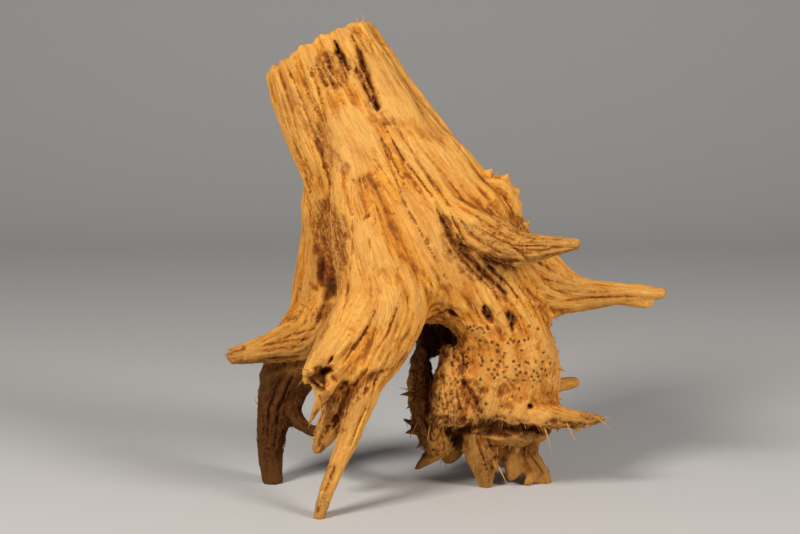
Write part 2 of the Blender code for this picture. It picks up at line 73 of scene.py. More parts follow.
# Stations along each limb, in millimetres: x, y, z, half width across the view, half depth.
LIMBS = {
    "trunk": [
        (-114, 18, 401, 53, 40), (-90, 14, 347, 62, 44), (-65, 10, 303, 69, 48),
        (-39, 4, 258, 79, 50), (-19, 0, 218, 83, 52), (-5, -2, 188, 74, 44), (2, -4, 173, 47, 34),
    ],
    "left_ridge": [
        (-97, 18, 333, 8, 14), (-111, 22, 283, 16, 24), (-112, 24, 247, 19, 27),
        (-113, 26, 219, 21, 28), (-114, 24, 178, 26, 30), (-113, 22, 145, 31, 30),
    ],
    "right_shoulder": [
        (-75, 12, 385, 15, 28), (-41, 10, 336, 16, 32), (-6, 8, 293, 22, 34),
        (29, 4, 264, 22, 32), (47, 4, 243, 20, 30), (63, 4, 213, 23, 30),
    ],
    "shoulder_knob": [
        (34, 0, 274, 14, 18), (50, 0, 272, 12, 14), (57, 0, 262, 9, 12), (61, 0, 246, 9, 12),
        (64, 0, 228, 9, 12),
    ],
    "rear_strand": [
        (-13, 44, 221, 31, 22), (-8, 56, 172, 28, 20), (0, 58, 148, 24, 17),
        (-3, 57, 130, 21, 13), (-20, 54, 113, 10, 12), (-26, 46, 93, 8, 12), (-21, 36, 72, 14, 16),
        (-11, 26, 46, 18, 18),
    ],
    "rear_rib": [
        (-92, 42, 386, 12, 14), (-74, 48, 340, 18, 16), (-50, 54, 290, 22, 18),
        (-20, 54, 236, 26, 20), (10, 46, 193, 26, 20), (30, 36, 158, 24, 22),
        (28, 40, 138, 20, 18),
    ],
    "rear_left_rib": [
        (-128, 36, 388, 12, 14), (-118, 46, 345, 15, 16), (-101, 52, 290, 18, 18),
        (-87, 56, 229, 22, 20), (-83, 50, 173, 26, 22), (-101, 40, 133, 22, 20),
    ],
    "front_leg": [
        (-93, 2, 327, 13, 26), (-85, -14, 291, 20, 30), (-78, -28, 253, 27, 32),
        (-67, -38, 216, 33, 33), (-56, -46, 180, 40, 32), (-62, -56, 148, 33, 29),
        (-72, -68, 119, 23, 23), (-78, -78, 91, 14, 16), (-88, -88, 60, 9, 12),
        (-101, -95, 31, 8, 10), (-110, -101, 2, 6, 8), (-112, -102, -6, 6, 7),
    ],
    "broken_stub": [
        (-62, -46, 189, 26, 26), (-83, -62, 156, 25, 24), (-101, -76, 134, 20, 19),
        (-115, -87, 112, 16, 15),
    ],
    "stub_splinter": [
        (-104, -78, 112, 9, 7), (-111, -80, 95, 5, 5), (-121, -80, 75, 2, 2.5),
    ],
    "inner_stub": [
        (-83, -60, 112, 23, 20), (-95, -58, 86, 16, 16), (-105, -56, 68, 12, 12),
        (-112, -55, 52, 8, 8), (-114, -54, 45, 5, 6),
    ],
    "left_stub": [
        (-100, 16, 170, 31, 30), (-121, 8, 142, 23, 23), (-146, 2, 132, 18, 18),
        (-169, -3, 126, 12, 13), (-188, -6, 122, 9, 9), (-195, -7, 121, 8, 8),
    ],
    "rear_left_leg": [
        (-113, 24, 150, 31, 28), (-133, 24, 122, 29, 24), (-148, 22, 92, 25, 21),
        (-157, 18, 67, 18, 17), (-160, 14, 39, 14, 14), (-160, 12, 15, 11, 12),
        (-157, 12, -10, 9, 10),
    ],
    "bridge": [
        (-150, 14, 72, 14, 12), (-134, 6, 58, 8, 7), (-120, -16, 55, 6, 6), (-105, -38, 60, 9, 8),
    ],
    "leg_web": [
        (-133, 20, 112, 12, 12), (-134, 16, 90, 11, 9), (-139, 12, 70, 8, 9),
    ],
    "upper_root": [
        (-37, -14, 291, 12, 18), (-13, -28, 266, 17, 19), (12, -38, 249, 20, 20),
        (37, -46, 235, 21, 20), (63, -56, 228, 16, 16), (88, -64, 230, 10, 12),
        (107, -70, 232, 7, 8), (113, -72, 232, 6, 7),
    ],
    "long_root": [
        (31, 0, 236, 27, 30), (63, 2, 203, 31, 30), (90, 4, 184, 30, 26), (117, 5, 177, 18, 18),
        (149, 5, 176, 11, 12), (176, 4, 178, 8, 8), (197, 3, 180, 4, 4),
    ],
    "long_root_finger": [
        (156, 4, 173, 6, 6), (176, 2, 169, 5, 5), (185, 1, 167, 3, 4), (189, 0, 169, 1, 2),
    ],
    "low_root": [
        (53, -20, 80, 21, 20), (80, -28, 75, 17, 16), (102, -30, 70, 11, 11),
        (124, -30, 68, 8, 7), (143, -30, 70, 3, 3),
    ],
    "side_peg": [(79, 22, 86, 10, 9), (102, 26, 88, 8, 7), (123, 30, 90, 6, 5)],
    "burl": [
        (22, -2, 207, 54, 44), (38, -4, 173, 45, 40), (54, -6, 146, 38, 38),
        (59, -8, 121, 45, 38), (52, -8, 96, 54, 38), (45, -8, 76, 58, 38), (41, 4, 64, 50, 21),
        (37, 5, 47, 40, 15),
    ],
    "burl_plate": [
        (6, -10, 130, 11, 12), (5, -20, 115, 13, 16), (3, -26, 97, 18, 20), (3, -26, 80, 19, 18),
        (6, -22, 67, 16, 11),
    ],
    "burl_lobe": [
        (-20, 36, 138, 6, 12), (-21, 22, 126, 6, 12), (-20, 8, 114, 7, 14), (-20, 2, 98, 10, 16),
        (-19, -4, 80, 12, 22), (-16, -6, 62, 14, 22), (-11, -4, 45, 15, 18), (-4, 4, 30, 9, 10),
    ],
    "burl_back": [
        (51, 30, 139, 31, 22), (50, 36, 96, 42, 24), (43, 34, 58, 44, 22), (37, 26, 36, 27, 16),
    ],
    "foot_left": [
        (37, -4, 58, 23, 22), (34, -4, 34, 18, 18), (36, -3, 15, 11, 10), (38, -2, -2, 6, 7),
        (38, -2, -9, 5, 6),
    ],
    "foot_middle": [(56, 4, 46, 14, 16), (61, 0, 26, 10, 10), (62, -2, 13, 8, 8), (58, -3, 7, 4, 5)],
    "foot_right": [
        (65, 6, 55, 22, 22), (69, 10, 33, 16, 17), (79, 12, 16, 13, 14), (89, 13, 3, 9, 10),
        (92, 13, -10, 7, 8),
    ],
    "foot_toe": [(81, 8, 16, 7, 7), (79, 2, 5, 5, 5), (73, -2, 2, 3, 3)],
    "small_foot": [(1, 0, 43, 14, 16), (-12, -2, 30, 9, 9), (-28, -4, 16, 2, 3)],
    "hidden_foot": [(7, 26, 41, 20, 18), (6, 28, 26, 14, 14), (4, 28, 15, 6, 8)],
    "foot_rear": [
        (48, 36, 48, 26, 22), (60, 54, 27, 17, 16), (67, 68, 10, 10, 11), (69, 74, -7, 8, 8),
    ],
    "back_root": [
        (-55, 34, 232, 31, 24), (-60, 56, 172, 24, 22), (-70, 80, 115, 15, 15),
        (-80, 97, 73, 10, 10),
    ],
    "back_right_root": [
        (32, 24, 224, 27, 26), (50, 48, 174, 20, 20), (58, 74, 143, 13, 13), (63, 96, 120, 8, 8),
    ],
}
# Limbs that end in a torn hollow: how deep it goes, and at which end of the route.
TORN_ENDS = {"trunk": (14 * MM, "start"), "broken_stub": (16 * MM, "end")}
# The torn rims: how far their teeth reach, how wide a tooth is, and the rim's slope and bow as
# shares of its radius.
RAGGED_RIM = 6 * MM
RIM_TEETH = 9 * MM
RIM_SLOPE = 0.08
RIM_BOW = 0.15
# The steps along a limb, the width of its sides and the depth of its flutes as a share of its width.
ROUTE_STEP = 4 * MM
SIDE_WIDTH = 3.5 * MM
FEWEST_SIDES = 16
FLUTE_DEPTH = 0.10
# How far the middle of the extents lies from where the stations are counted from.
MIDDLE = Vector((0.13, -1.71, 0.0)) * MM

# Cracks, torn grooves and holes of the front, in millimetres: half width, depth, and the route as x, z.
# A route of one spot is a round hole.
GROOVES = {
    "left_flute_a": (2.5, 2.5, [(-150, 372), (-136, 324), (-121, 267)]),
    "left_flute_b": (2.5, 2.5, [(-140, 383), (-126, 351), (-108, 299), (-102, 276)]),
    "left_flute_c": (2.2, 2.2, [(-128, 393), (-114, 368), (-107, 342), (-99, 319)]),
    "left_flute_d": (1.8, 1.8, [(-146, 377), (-138, 350), (-127, 309), (-118, 277)]),
    "top_notch": (3.5, 6, [(-99, 406), (-92, 393), (-85, 376)]),
    "torn_groove": (3.5, 5, [(-84, 411), (-75, 390), (-66, 366), (-59, 345)]),
    "torn_groove_side": (2, 3, [(-76, 386), (-71, 364), (-64, 350)]),
    "torn_pit": (3.5, 7, [(-61, 348)]),
    "crack_a": (1.6, 2.2, [(-57, 335), (-39, 304), (-10, 267), (9, 234), (38, 197)]),
    "crack_b": (1.5, 2, [(-60, 328), (-51, 302), (-39, 268), (-15, 225), (5, 188)]),
    "crack_c": (1.5, 2, [(-48, 337), (-24, 298), (2, 264), (19, 242)]),
    "crack_d": (1.4, 1.6, [(-41, 336), (-13, 302), (15, 268), (33, 247)]),
    "torn_root_a": (4, 5, [(-10, 262), (4, 233), (29, 206), (54, 183)]),
    "torn_root_b": (2.5, 4, [(-1, 264), (14, 235), (43, 204), (65, 178)]),
    "torn_root_c": (2, 3, [(-6, 246), (15, 213), (40, 188)]),
    "pocket": (15, 5.5, [(-103, 276), (-102, 235), (-103, 194), (-106, 172)]),
    "pocket_side": (4, 2, [(-115, 244), (-118, 209), (-119, 187)]),
    "pocket_floor": (4, 2.5, [(-124, 189), (-115, 183), (-102, 180)]),
    "upper_under": (7, 7, [(27, 224), (42, 215), (62, 217)]),
    "leg_line_a": (1.6, 2, [(-82, 265), (-82, 227), (-88, 184), (-98, 148)]),
    "leg_line_b": (1.6, 2, [(-39, 192), (-51, 159), (-72, 124), (-86, 91)]),
    "leg_line_c": (1.5, 1.8, [(-58, 185), (-70, 160), (-88, 135), (-99, 126)]),
    "leg_line_d": (1.5, 1.8, [(-44, 151), (-62, 113), (-82, 66), (-98, 34)]),
    "leg_valley": (5, 5, [(-65, 132), (-79, 113), (-90, 94), (-99, 69)]),
    "dash_a": (1.8, 2.2, [(-72, 252), (-67, 259)]),
    "dash_b": (1.5, 2, [(-67, 238), (-68, 222)]),
    "dash_c": (1.5, 2, [(-19, 237), (-15, 228)]),
    "leg_shelf": (5, 4, [(-46, 125), (-65, 122), (-80, 113), (-95, 98)]),
    "leg_shelf_line": (2, 3, [(-53, 119), (-70, 116), (-84, 104), (-93, 87), (-99, 57)]),
    "stub_crater": (11, 8, [(-117, 123), (-103, 121)]),
    "stub_hole": (4, 13, [(-107, 125)]),
    "stub_side_hole": (2.5, 10, [(-113, 118)]),
    "brow_hole": (3, 5, [(0, 169), (11, 162)]),
    "hole_middle": (5.5, 4.5, [(31, 174), (36, 166), (41, 158)]),
    "hole_middle_eye": (2.6, 8, [(37, 163)]),
    "hole_right": (4.5, 3.5, [(55, 168), (58, 160), (59, 150)]),
    "hole_right_eye": (2.4, 7, [(58, 157)]),
    "arch_brow": (2, 2, [(-14, 161), (2, 169), (17, 159)]),
    "knot_hole": (3.5, 6, [(74, 83)]),
    "knot_line_a": (1.3, 1.4, [(47, 133), (54, 108), (69, 88)]),
    "knot_line_b": (1.3, 1.4, [(79, 82), (97, 77), (119, 71)]),
    "burl_fold": (1.8, 2, [(14, 131), (15, 114), (18, 98)]),
    "burl_pit_a": (3.2, 3.5, [(15, 106), (20, 99), (23, 92)]),
    "burl_pit_b": (3.6, 4, [(21, 96), (27, 89), (28, 80)]),
    "burl_pit_c": (1.8, 2.5, [(24, 84), (33, 76)]),
    "stub_bite_a": (6, 7, [(-116, 121)]),
    "stub_bite_b": (7, 9, [(-110, 125)]),
    "stub_bite_c": (6, 9, [(-103, 126)]),
    "stub_bite_d": (6, 7, [(-100, 120)]),
    "stub_bite_e": (6, 8, [(-105, 116)]),
    "stub_bite_f": (5, 7, [(-113, 115)]),
    "stub_notch": (1.8, 4, [(-104, 131), (-98, 139)]),
    "under_lip_a": (9, 9, [(10, 52), (32, 64), (50, 62), (68, 58)]),
    "under_lip_b": (5, 6, [(54, 65), (74, 61), (99, 58)]),
    "under_lip_c": (6, 6, [(22, 54), (44, 56), (60, 54)]),
    "burl_dent": (6, 1.2, [(45, 93), (51, 100), (54, 105)]),
    "plate_line_a": (1.6, 1.8, [(-4, 130), (-5, 109), (0, 90), (3, 68)]),
    "plate_line_b": (1.6, 1.8, [(4, 131), (7, 107), (11, 90), (16, 72)]),
    "lobe_split": (2.5, 3, [(-14, 101), (-17, 86), (-18, 64), (-12, 44)]),
    "foot_line_a": (1.5, 2, [(26, 54), (33, 33), (41, 10)]),
    "foot_line_b": (1.5, 2, [(35, 54), (44, 37), (47, 17)]),
    "foot_line_c": (1.5, 2, [(63, 48), (78, 29), (91, 10)]),
    "left_stub_a": (1.8, 2, [(-131, 133), (-153, 130), (-180, 125)]),
    "left_stub_b": (1.8, 2, [(-120, 140), (-144, 137), (-174, 131)]),
    "left_stub_c": (1.8, 2, [(-126, 124), (-147, 121), (-174, 119)]),
    "left_stub_d": (1.5, 1.8, [(-116, 149), (-131, 145), (-152, 137)]),
    "upper_root_a": (1.8, 2, [(26, 246), (54, 231), (87, 232)]),
    "upper_root_b": (1.8, 2, [(19, 239), (49, 222), (79, 225)]),
    "long_root_a": (1.8, 2, [(95, 173), (129, 176), (180, 176)]),
    "long_root_b": (1.8, 2, [(83, 196), (116, 187), (162, 184)]),
    "long_root_c": (1.5, 1.6, [(91, 185), (125, 181), (170, 181)]),
    "rear_leg_a": (2, 3, [(-148, 103), (-161, 70), (-163, 33)]),
    "rear_leg_b": (2, 3, [(-135, 110), (-152, 71), (-156, 31)]),
    "long_root_bay": (2.5, 3, [(49, 236), (71, 217), (102, 197)]),
}
# Brown, crumbly places of the front, in millimetres: half width, strength, and the route as x, z. Under
# the lip, the upper root, the left stub and the low root, round the holes and the burl's dent, on the feet
# and on the rear left leg, the brown is also painted shade.
STAINS_AND_SHADE = {
    "torn_top": (11, 0.8, [(-109, 395), (-102, 378), (-95, 361)]),
    "grey_notch": (4, 1.1, [(-95, 399), (-86, 378)]),
    "red_groove": (5, 1, [(-78, 397), (-69, 367), (-60, 343)]),
    "crumbs": (5, 0.6, [(-60, 343), (-50, 337), (-43, 333)]),
    "speckled_band": (6, 0.55, [(-114, 355), (-109, 319), (-93, 296), (-83, 281)]),
    "pocket_stain": (14, 1, [(-106, 269), (-102, 231), (-102, 180)]),
    "torn_root_stain": (9, 0.9, [(-6, 257), (8, 227), (34, 203), (56, 181)]),
    "stub_end": (11, 1.2, [(-117, 122), (-103, 120)]),
    "rear_leg": (26, 0.9, [(-145, 106), (-158, 61), (-160, 14)]),
    "bridge_stain": (18, 0.9, [(-132, 86), (-116, 69), (-102, 63)]),
    "inner_stub_stain": (14, 0.7, [(-91, 105), (-104, 69)]),
    "burl_fold_stain": (9, 0.7, [(19, 102), (25, 81)]),
    "lobe_stain": (14, 1.2, [(-23, 130), (-24, 109), (-25, 85), (-26, 55), (-18, 36)]),
    "plate_stain": (14, 0.55, [(2, 112), (2, 70)]),
    "fringe": (7, 0.9, [(-19, 69), (-5, 70), (8, 68), (21, 71)]),
    "lip_shade": (9, 1.4, [(12, 55), (33, 67), (48, 66), (66, 62), (100, 58)]),
    "dent_shade": (5, 0.5, [(44, 92), (54, 106)]),
    "upper_shade": (7, 1.2, [(30, 221), (41, 211), (58, 213)]),
    "upper_flakes": (15, 0.7, [(6, 252), (33, 240), (60, 233), (88, 231), (122, 229)]),
    "shoulder_crumbs": (5, 0.5, [(35, 262), (45, 255)]),
    "knob_flakes": (6, 0.8, [(56, 258), (62, 245), (76, 236)]),
    "knob_rim": (4, 0.25, [(38, 286), (53, 284), (61, 274), (63, 262)]),
    "shelf_crumbs": (8, 1, [(-58, 118), (-75, 113), (-87, 100), (-95, 73)]),
    "leg_streak": (3, 0.7, [(-101, 48), (-104, 34), (-107, 20)]),
    "leg_tip": (9, 1.5, [(-103, 24), (-112, -4), (-118, -26)]),
    "left_stub_tip": (8, 0.8, [(-204, 132), (-180, 117)]),
    "stub_side": (6, 0.6, [(-124, 154), (-100, 171)]),
    "inner_tip": (8, 0.9, [(-117, 66), (-112, 34)]),
    "low_root_tip": (8, 1.1, [(116, 76), (156, 69)]),
    "low_root_under": (5, 0.9, [(84, 67), (106, 63), (134, 65)]),
    "upper_root_tip": (8, 0.7, [(92, 231), (124, 229)]),
    "burl_pit": (8, 1, [(14, 106), (24, 92), (34, 76)]),
    "hole_shade": (6, 0.8, [(31, 174), (41, 158)]),
    "hole_shade_right": (5, 0.7, [(55, 170), (59, 150)]),
    "foot_shade_a": (9, 0.7, [(28, 58), (36, 34), (38, -6)]),
    "foot_shade_b": (8, 0.7, [(66, 52), (80, 28), (92, -4)]),
    "stub_under": (9, 0.8, [(-186, 116), (-160, 114), (-128, 116)]),
    "left_foot": (16, 0.3, [(-18, 21), (-5, 32)]),
    "mid_foot": (10, 0.6, [(59, 24), (62, 9)]),
}
# Places darkened as painted shade without crumbling, and smooth, pale ones, in the same way.
SHADES = {
    "under_lip": (7, 0.8, [(6, 50), (32, 62), (50, 61), (68, 57), (104, 55)]),
    "left_ridge": (14, 0.15, [(-118, 262), (-126, 205), (-138, 160)]),
    "left_stub": (16, 0.15, [(-112, 148), (-160, 130), (-216, 122)]),
    "upper_root": (15, 0.16, [(4, 246), (60, 224), (122, 230)]),
    "low_root": (8, 0.3, [(90, 72), (160, 68)]),
    "burl_foot": (22, 0.12, [(4, 76), (60, 78)]),
}
BARE = {
    "top_left": (16, 0.45, [(-142, 372), (-130, 335), (-120, 300)]),
    "smooth_patch": (22, 1, [(-88, 351), (-85, 319), (-74, 286)]),
    "pale_band": (16, 0.8, [(-41, 277), (-15, 238), (19, 180)]),
    "leg_front": (20, 0.6, [(-74, 252), (-65, 193), (-67, 160)]),
    "right_side": (22, 0.6, [(-66, 398), (-44, 357), (-12, 310), (26, 270)]),
    "burl_plate": (30, 0.5, [(47, 139), (56, 113), (52, 95)]),
    "long_root_top": (9, 0.5, [(88, 194), (139, 184)]),
}

# Pin knots of the burl's front, in millimetres: x, z.
KNOTS = [
    (18, 154), (21, 154), (24, 155), (23, 151), (30, 154), (32, 153), (33, 150), (36, 155),
    (37, 153), (19, 152), (27, 153), (30, 142), (40, 141), (45, 139), (29, 129), (31, 127),
    (32, 124), (40, 125), (47, 125), (45, 133), (51, 132), (50, 129), (31, 120), (45, 121),
    (37, 117), (40, 113), (45, 113), (50, 115), (51, 111), (59, 125), (61, 118), (64, 121),
    (70, 124), (65, 115), (70, 114), (77, 116), (81, 111), (77, 108), (68, 108), (59, 108),
    (76, 102), (56, 144), (59, 142), (64, 142), (69, 143), (66, 134), (54, 141), (85, 123),
    (86, 131), (79, 124), (20, 133), (18, 126), (19, 121), (72, 123), (8, 108), (10, 105),
    (14, 106), (4, 95), (-6, 96), (-7, 89), (4, 104), (18, 117), (30, 108), (42, 117), (42, 110),
    (53, 120), (62, 113), (75, 111), (80, 114), (84, 117), (88, 115), (51, 149), (45, 167),
    (55, 162), (49, 170), (52, 168), (72, 144), (73, 155), (81, 152), (58, 93), (49, 85),
    (56, 79), (35, 87), (7, 125), (5, 121), (9, 116), (13, 112), (-5, 91), (-3, 86), (-8, 84),
    (-11, 80), (89, 110), (92, 121), (83, 106), (64, 100),
]
KNOT_RADIUS = 1.7 * MM

# The burl is lumpy inside this box; the lumps fade in over the last stretch of it.
BURL_LOW = np.array((-40, -60, 20)) * MM
BURL_HIGH = np.array((112, 70, 158)) * MM
BURL_FADE = 16 * MM

# Thorns along the outline of the burl and the knob, in millimetres: foot x, y, z and tip x, y, z.
THORNS = [
    (-30, 0, 87, -46, -2, 85), (-28, -4, 76, -38, -8, 70), (-28, -2, 62, -38, -4, 57),
    (-28, 4, 102, -36, 6, 109), (-6, 2, 124, -14, 2, 130), (95, 6, 131, 107, 8, 136),
    (99, 2, 119, 108, 0, 119), (99, 8, 106, 107, 10, 110), (95, -6, 90, 103, -10, 84),
    (92, 10, 145, 101, 14, 149), (86, -34, 62, 94, -37, 48), (46, -14, 26, 52, -24, 13),
    (116, -30, 62, 121, -33, 54), (37, -4, 287, 41, -6, 292), (52, -2, 283, 56, -3, 288),
    (62, 0, 270, 67, 0, 273), (64, 0, 259, 69, 0, 259), (72, -4, 241, 77, -5, 246),
    (-29, 0, 56, -45, -4, 66), (-28, -6, 52, -40, -10, 51),
]

# The fineness of the skin, before and after the creases between the limbs are filled.
FIRST_VOXEL = 2.4 * MM
FINE_VOXEL = 1.55 * MM
SMOOTHING_PASSES = 2
MOST_TRIANGLES = 196000


def catmull_rom(before, start, end, after, share):
    """The value a share of the way from start to end, on a smooth curve through all four."""
    return 0.5 * (
        2 * start
        + (end - before) * share
        + (2 * before - 5 * start + 4 * end - after) * share**2
        + (3 * start - before - 3 * end + after) * share**3
    )


def limb_route(stations):
    """Even steps along a limb: centre, half width, half depth, and the three ways there, in metres."""
    rows = [[value * MM for value in station] for station in stations]
    rows = [rows[0], *rows, rows[-1]]
    steps = []
    for before, start, end, after in zip(rows, rows[1:], rows[2:], rows[3:]):
        count = max(2, round((Vector(end[:3]) - Vector(start[:3])).length / ROUTE_STEP))
        for i in range(count):
            steps.append([catmull_rom(*four, i / count) for four in zip(before, start, end, after)])
    steps.append(rows[-1])
    found = []
    for i, step in enumerate(steps):
        ahead = Vector(steps[min(i + 1, len(steps) - 1)][:3])
        behind = Vector(steps[max(i - 1, 0)][:3])
        along = (ahead - behind).normalized()
        across = Vector((0, 1, 0)).cross(along).normalized()
        found.append((Vector(step[:3]), step[3], step[4], across, along.cross(across), along))
    return found


def flute(cosine, sine, run, seed):
    """Rounded ribs with sharp grooves between them, running with the grain: from -1 to 0."""
    around, along = 1.7, 1 / 0.11
    value = noise.noise(Vector((cosine * around + seed, sine * around - seed, run * along)))
    return min(1.0, abs(value) * 4.5) - 1.0


def join_rings(shape, rings):
    """Closes the wall between each ring of vertices and the next."""
    for low, high in zip(rings, rings[1:]):
        for i in range(len(low)):
            j = (i + 1) % len(low)
            shape.faces.new((low[i], low[j], high[j], high[i]))


def limb_tube(shape, name, steps, seed):
    """Adds one limb to the shape as a closed, fluted tube with domed or torn ends."""
    widest = max(max(step[1], step[2]) for step in steps)
    sides = max(FEWEST_SIDES, round(2 * math.pi * widest / SIDE_WIDTH))
    rings = []
    run = 0.0
    for i, (centre, half_width, half_depth, across, through, _) in enumerate(steps):
        run += (centre - steps[max(i - 1, 0)][0]).length
        ring = []
        for side in range(sides):
            turn = 2 * math.pi * side / sides
            swell = 1 + FLUTE_DEPTH * flute(math.cos(turn), math.sin(turn), run, seed)
            spot = across * (half_width * math.cos(turn) * swell)
            spot += through * (half_depth * math.sin(turn) * swell)
            ring.append(shape.verts.new(centre + spot))
        rings.append(ring)
    join_rings(shape, rings)
    hollow, end = TORN_ENDS.get(name, (0.0, None))
    for ring, step, way, torn in (
        (rings[0], steps[0], -1, end == "start"),
        (rings[-1], steps[-1], 1, end == "end"),
    ):
        centre, along = step[0], step[5]
        radius = (ring[0].co - centre).length
        if torn:
            inner = ((0.82, 0.0), (0.66, -0.6 * hollow), (0.4, -hollow))
            for vertex in ring:
                tear = noise.noise(vertex.co / RIM_TEETH) * RAGGED_RIM
                across = (vertex.co.x - centre.x) / radius
                bow = radius * ((across - 1) * RIM_SLOPE + (1 - across**2) * RIM_BOW)
                vertex.co += along * (way * (tear + bow))
        else:
            inner = ((0.82, 0.16 * radius), (0.5, 0.3 * radius))
        last = ring
        for share, rise in inner:
            spots = [centre + (v.co - centre) * share + along * (way * rise) for v in ring]
            fresh = [shape.verts.new(spot) for spot in spots]
            join_rings(shape, (last, fresh))
            last = fresh
        shape.faces.new(last)


def applied_mesh(thing):
    """A plain mesh of the object with its modifiers applied."""
    graph = bpy.context.evaluated_depsgraph_get()
    return bpy.data.meshes.new_from_object(thing.evaluated_get(graph), depsgraph=graph)


def unit(values):
    """The values, held between 0 and 1."""
    return np.clip(values, 0, 1)


def lattice_noise(x, y, z, seed):
    """Smooth noise from -1 to 1 at each place, from random values on a unit lattice."""
    low = [np.floor(value).astype(np.int64) for value in (x, y, z)]
    part = [value - base for value, base in zip((x, y, z), low)]
    part = [value * value * (3 - 2 * value) for value in part]
    total = np.zeros(len(x))
    for corner in range(8):
        bits = (corner & 1, corner >> 1 & 1, corner >> 2 & 1)
        mixed = (low[0] + bits[0]) * 374761393 + (low[1] + bits[1]) * 668265263
        mixed = (mixed + (low[2] + bits[2]) * 2147483647 + seed * 144665) & 0xFFFFFFFF
        mixed = ((mixed ^ (mixed >> 13)) * 1274126177) & 0xFFFFFFFF
        value = (mixed ^ (mixed >> 16)) / 2**31 - 1
        weight = 1.0
        for bit, share in zip(bits, part):
            weight = weight * (share if bit else 1 - share)
        total += value * weight
    return total


routes = {name: limb_route(stations) for name, stations in LIMBS.items()}


def limb_places(points):
    """For each limb and point: how near the point is (1 on the limb's skin), its place in the limb
    laid out straight (x and y across it, z along it, in metres), and the limb's way there."""
    nears, places, ways = [], [], []
    for number, steps in enumerate(routes.values()):
        centres = np.array([step[0] for step in steps])
        columns = np.array([[*step[0], *step[3], *step[4], step[1], step[2]] for step in steps])
        along = np.array([step[5] for step in steps])
        gaps = np.linalg.norm(np.diff(centres, axis=0), axis=1)
        runs = np.concatenate([[0.0], np.cumsum(gaps)])
        nearest = ((centres**2).sum(1) - 2 * points @ centres.T).argmin(1)
        run = runs[nearest] + ((points - centres[nearest]) * along[nearest]).sum(1)
        inside = np.clip(run, 0, runs[-1])
        here = np.stack([np.interp(inside, runs, column) for column in columns.T], axis=1)
        offset = points - here[:, 0:3]
        size = columns[:, 9:11].mean()
        x = (offset * here[:, 3:6]).sum(1) / here[:, 9]
        y = (offset * here[:, 6:9]).sum(1) / here[:, 10]
        nears.append(np.sqrt(x * x + y * y + ((run - inside) / size) ** 2))
        shift = 0.37 * number
        places.append(np.stack([x * size + shift, y * size, run + shift], axis=1))
        ways.append(along[nearest])
    return np.array(nears), np.array(places), np.array(ways)


def two_nearest(nears):
    """The numbers of the two nearest limbs, and the share of the first when they are blended."""
    order = np.argsort(nears, axis=0)[:2]
    first, second = np.take_along_axis(nears, order, axis=0)
    return order, 0.5 + 0.5 * unit((second - first) / 0.35)


def route_share(spots, half_width, route, wobble):
    """For each spot of the front: 1 on the route, 0 from its half width on, less towards its ends."""
    x, z = spots[:, 0] / MM, spots[:, 2] / MM
    if len(route) == 1:
        return unit(1 - (np.hypot(x - route[0][0], z - route[0][1]) + wobble) / half_width)
    nearest, place = np.full(len(x), np.inf), np.zeros(len(x))
    for i, ((x0, z0), (x1, z1)) in enumerate(zip(route, route[1:])):
        dx, dz = x1 - x0, z1 - z0
        share = unit(((x - x0) * dx + (z - z0) * dz) / (dx * dx + dz * dz))
        away = np.hypot(x - x0 - share * dx, z - z0 - share * dz)
        closer = away < nearest
        nearest = np.where(closer, away, nearest)
        place = np.where(closer, (i + share) / (len(route) - 1), place)
    taper = np.sqrt(np.maximum(0.02, np.sin(math.pi * place)))
    return unit(1 - (nearest + wobble) / (half_width * taper)) * taper


def patch_share(spots, patches):
    """How strongly the patches cover each spot, with soft, broken edges."""
    x, z = spots[:, 0] / MM, spots[:, 2] / MM
    wobble = lattice_noise(x / 9, z / 9, x * 0, 12) * 4 + lattice_noise(x / 3, z / 3, x * 0, 13) * 1.5
    total = np.zeros(len(spots))
    for half_width, strength, route in patches.values():
        cover = route_share(spots, 1.5 * half_width, route, wobble)
        total = np.maximum(total, strength * unit(cover * 2))
    return total


def burl_share(spots):
    """1 well inside the burl's box, 0 outside it."""
    inside = np.minimum(spots - BURL_LOW, BURL_HIGH - spots).min(1)
    return unit(inside / BURL_FADE)


def mesh_arrays(mesh):
    """The places and normals of a mesh's vertices, one row each."""
    count = len(mesh.vertices)
    spots, normals = np.empty(count * 3), np.empty(count * 3)
    mesh.vertices.foreach_get("co", spots)
    mesh.vertices.foreach_get("normal", normals)
    return spots.reshape(-1, 3), normals.reshape(-1, 3)


# The tubes of all the limbs, fused into one skin.
shape = bmesh.new()
for number, (name, steps) in enumerate(routes.items()):
    limb_tube(shape, name, steps, 3.1 * number)
bmesh.ops.recalc_face_normals(shape, faces=shape.faces)
tubes = bpy.data.meshes.new("tubes")
shape.to_mesh(tubes)
shape.free()
root = placed("weathered_root", tubes)


def remeshed(thing, voxel):
    """One closed, softened skin round everything in the object's mesh."""
    fuse = thing.modifiers.new("fuse", "REMESH")
    fuse.mode = "VOXEL"
    fuse.voxel_size = voxel
    soften = thing.modifiers.new("soften", "SMOOTH")
    soften.factor = 0.5
    soften.iterations = SMOOTHING_PASSES
    mesh = applied_mesh(thing)
    thing.modifiers.clear()
    return mesh


root.data = remeshed(root, FIRST_VOXEL)


def relaxed(mesh, values, rounds, strength=1.0):
    """The values at a mesh's vertices after each has moved towards its neighbours' mean."""
    ends = np.empty(len(mesh.edges) * 2, np.int64)
    mesh.edges.foreach_get("vertices", ends)
    first, second = ends.reshape(-1, 2).T
    count = np.bincount(ends, minlength=len(values))
    columns = np.array(values, float).reshape(len(values), -1)
    for _ in range(rounds):
        for axis in range(columns.shape[1]):
            column = columns[:, axis]
            total = np.bincount(first, column[second], len(column))
            total += np.bincount(second, column[first], len(column))
            columns[:, axis] = column + strength * (total / count - column)
    return columns.reshape(np.shape(values))


def move_vertices(mesh, spots):
    """Puts a mesh's vertices at new places."""
    mesh.vertices.foreach_set("co", np.ascontiguousarray(spots, np.float32).ravel())
    mesh.update()


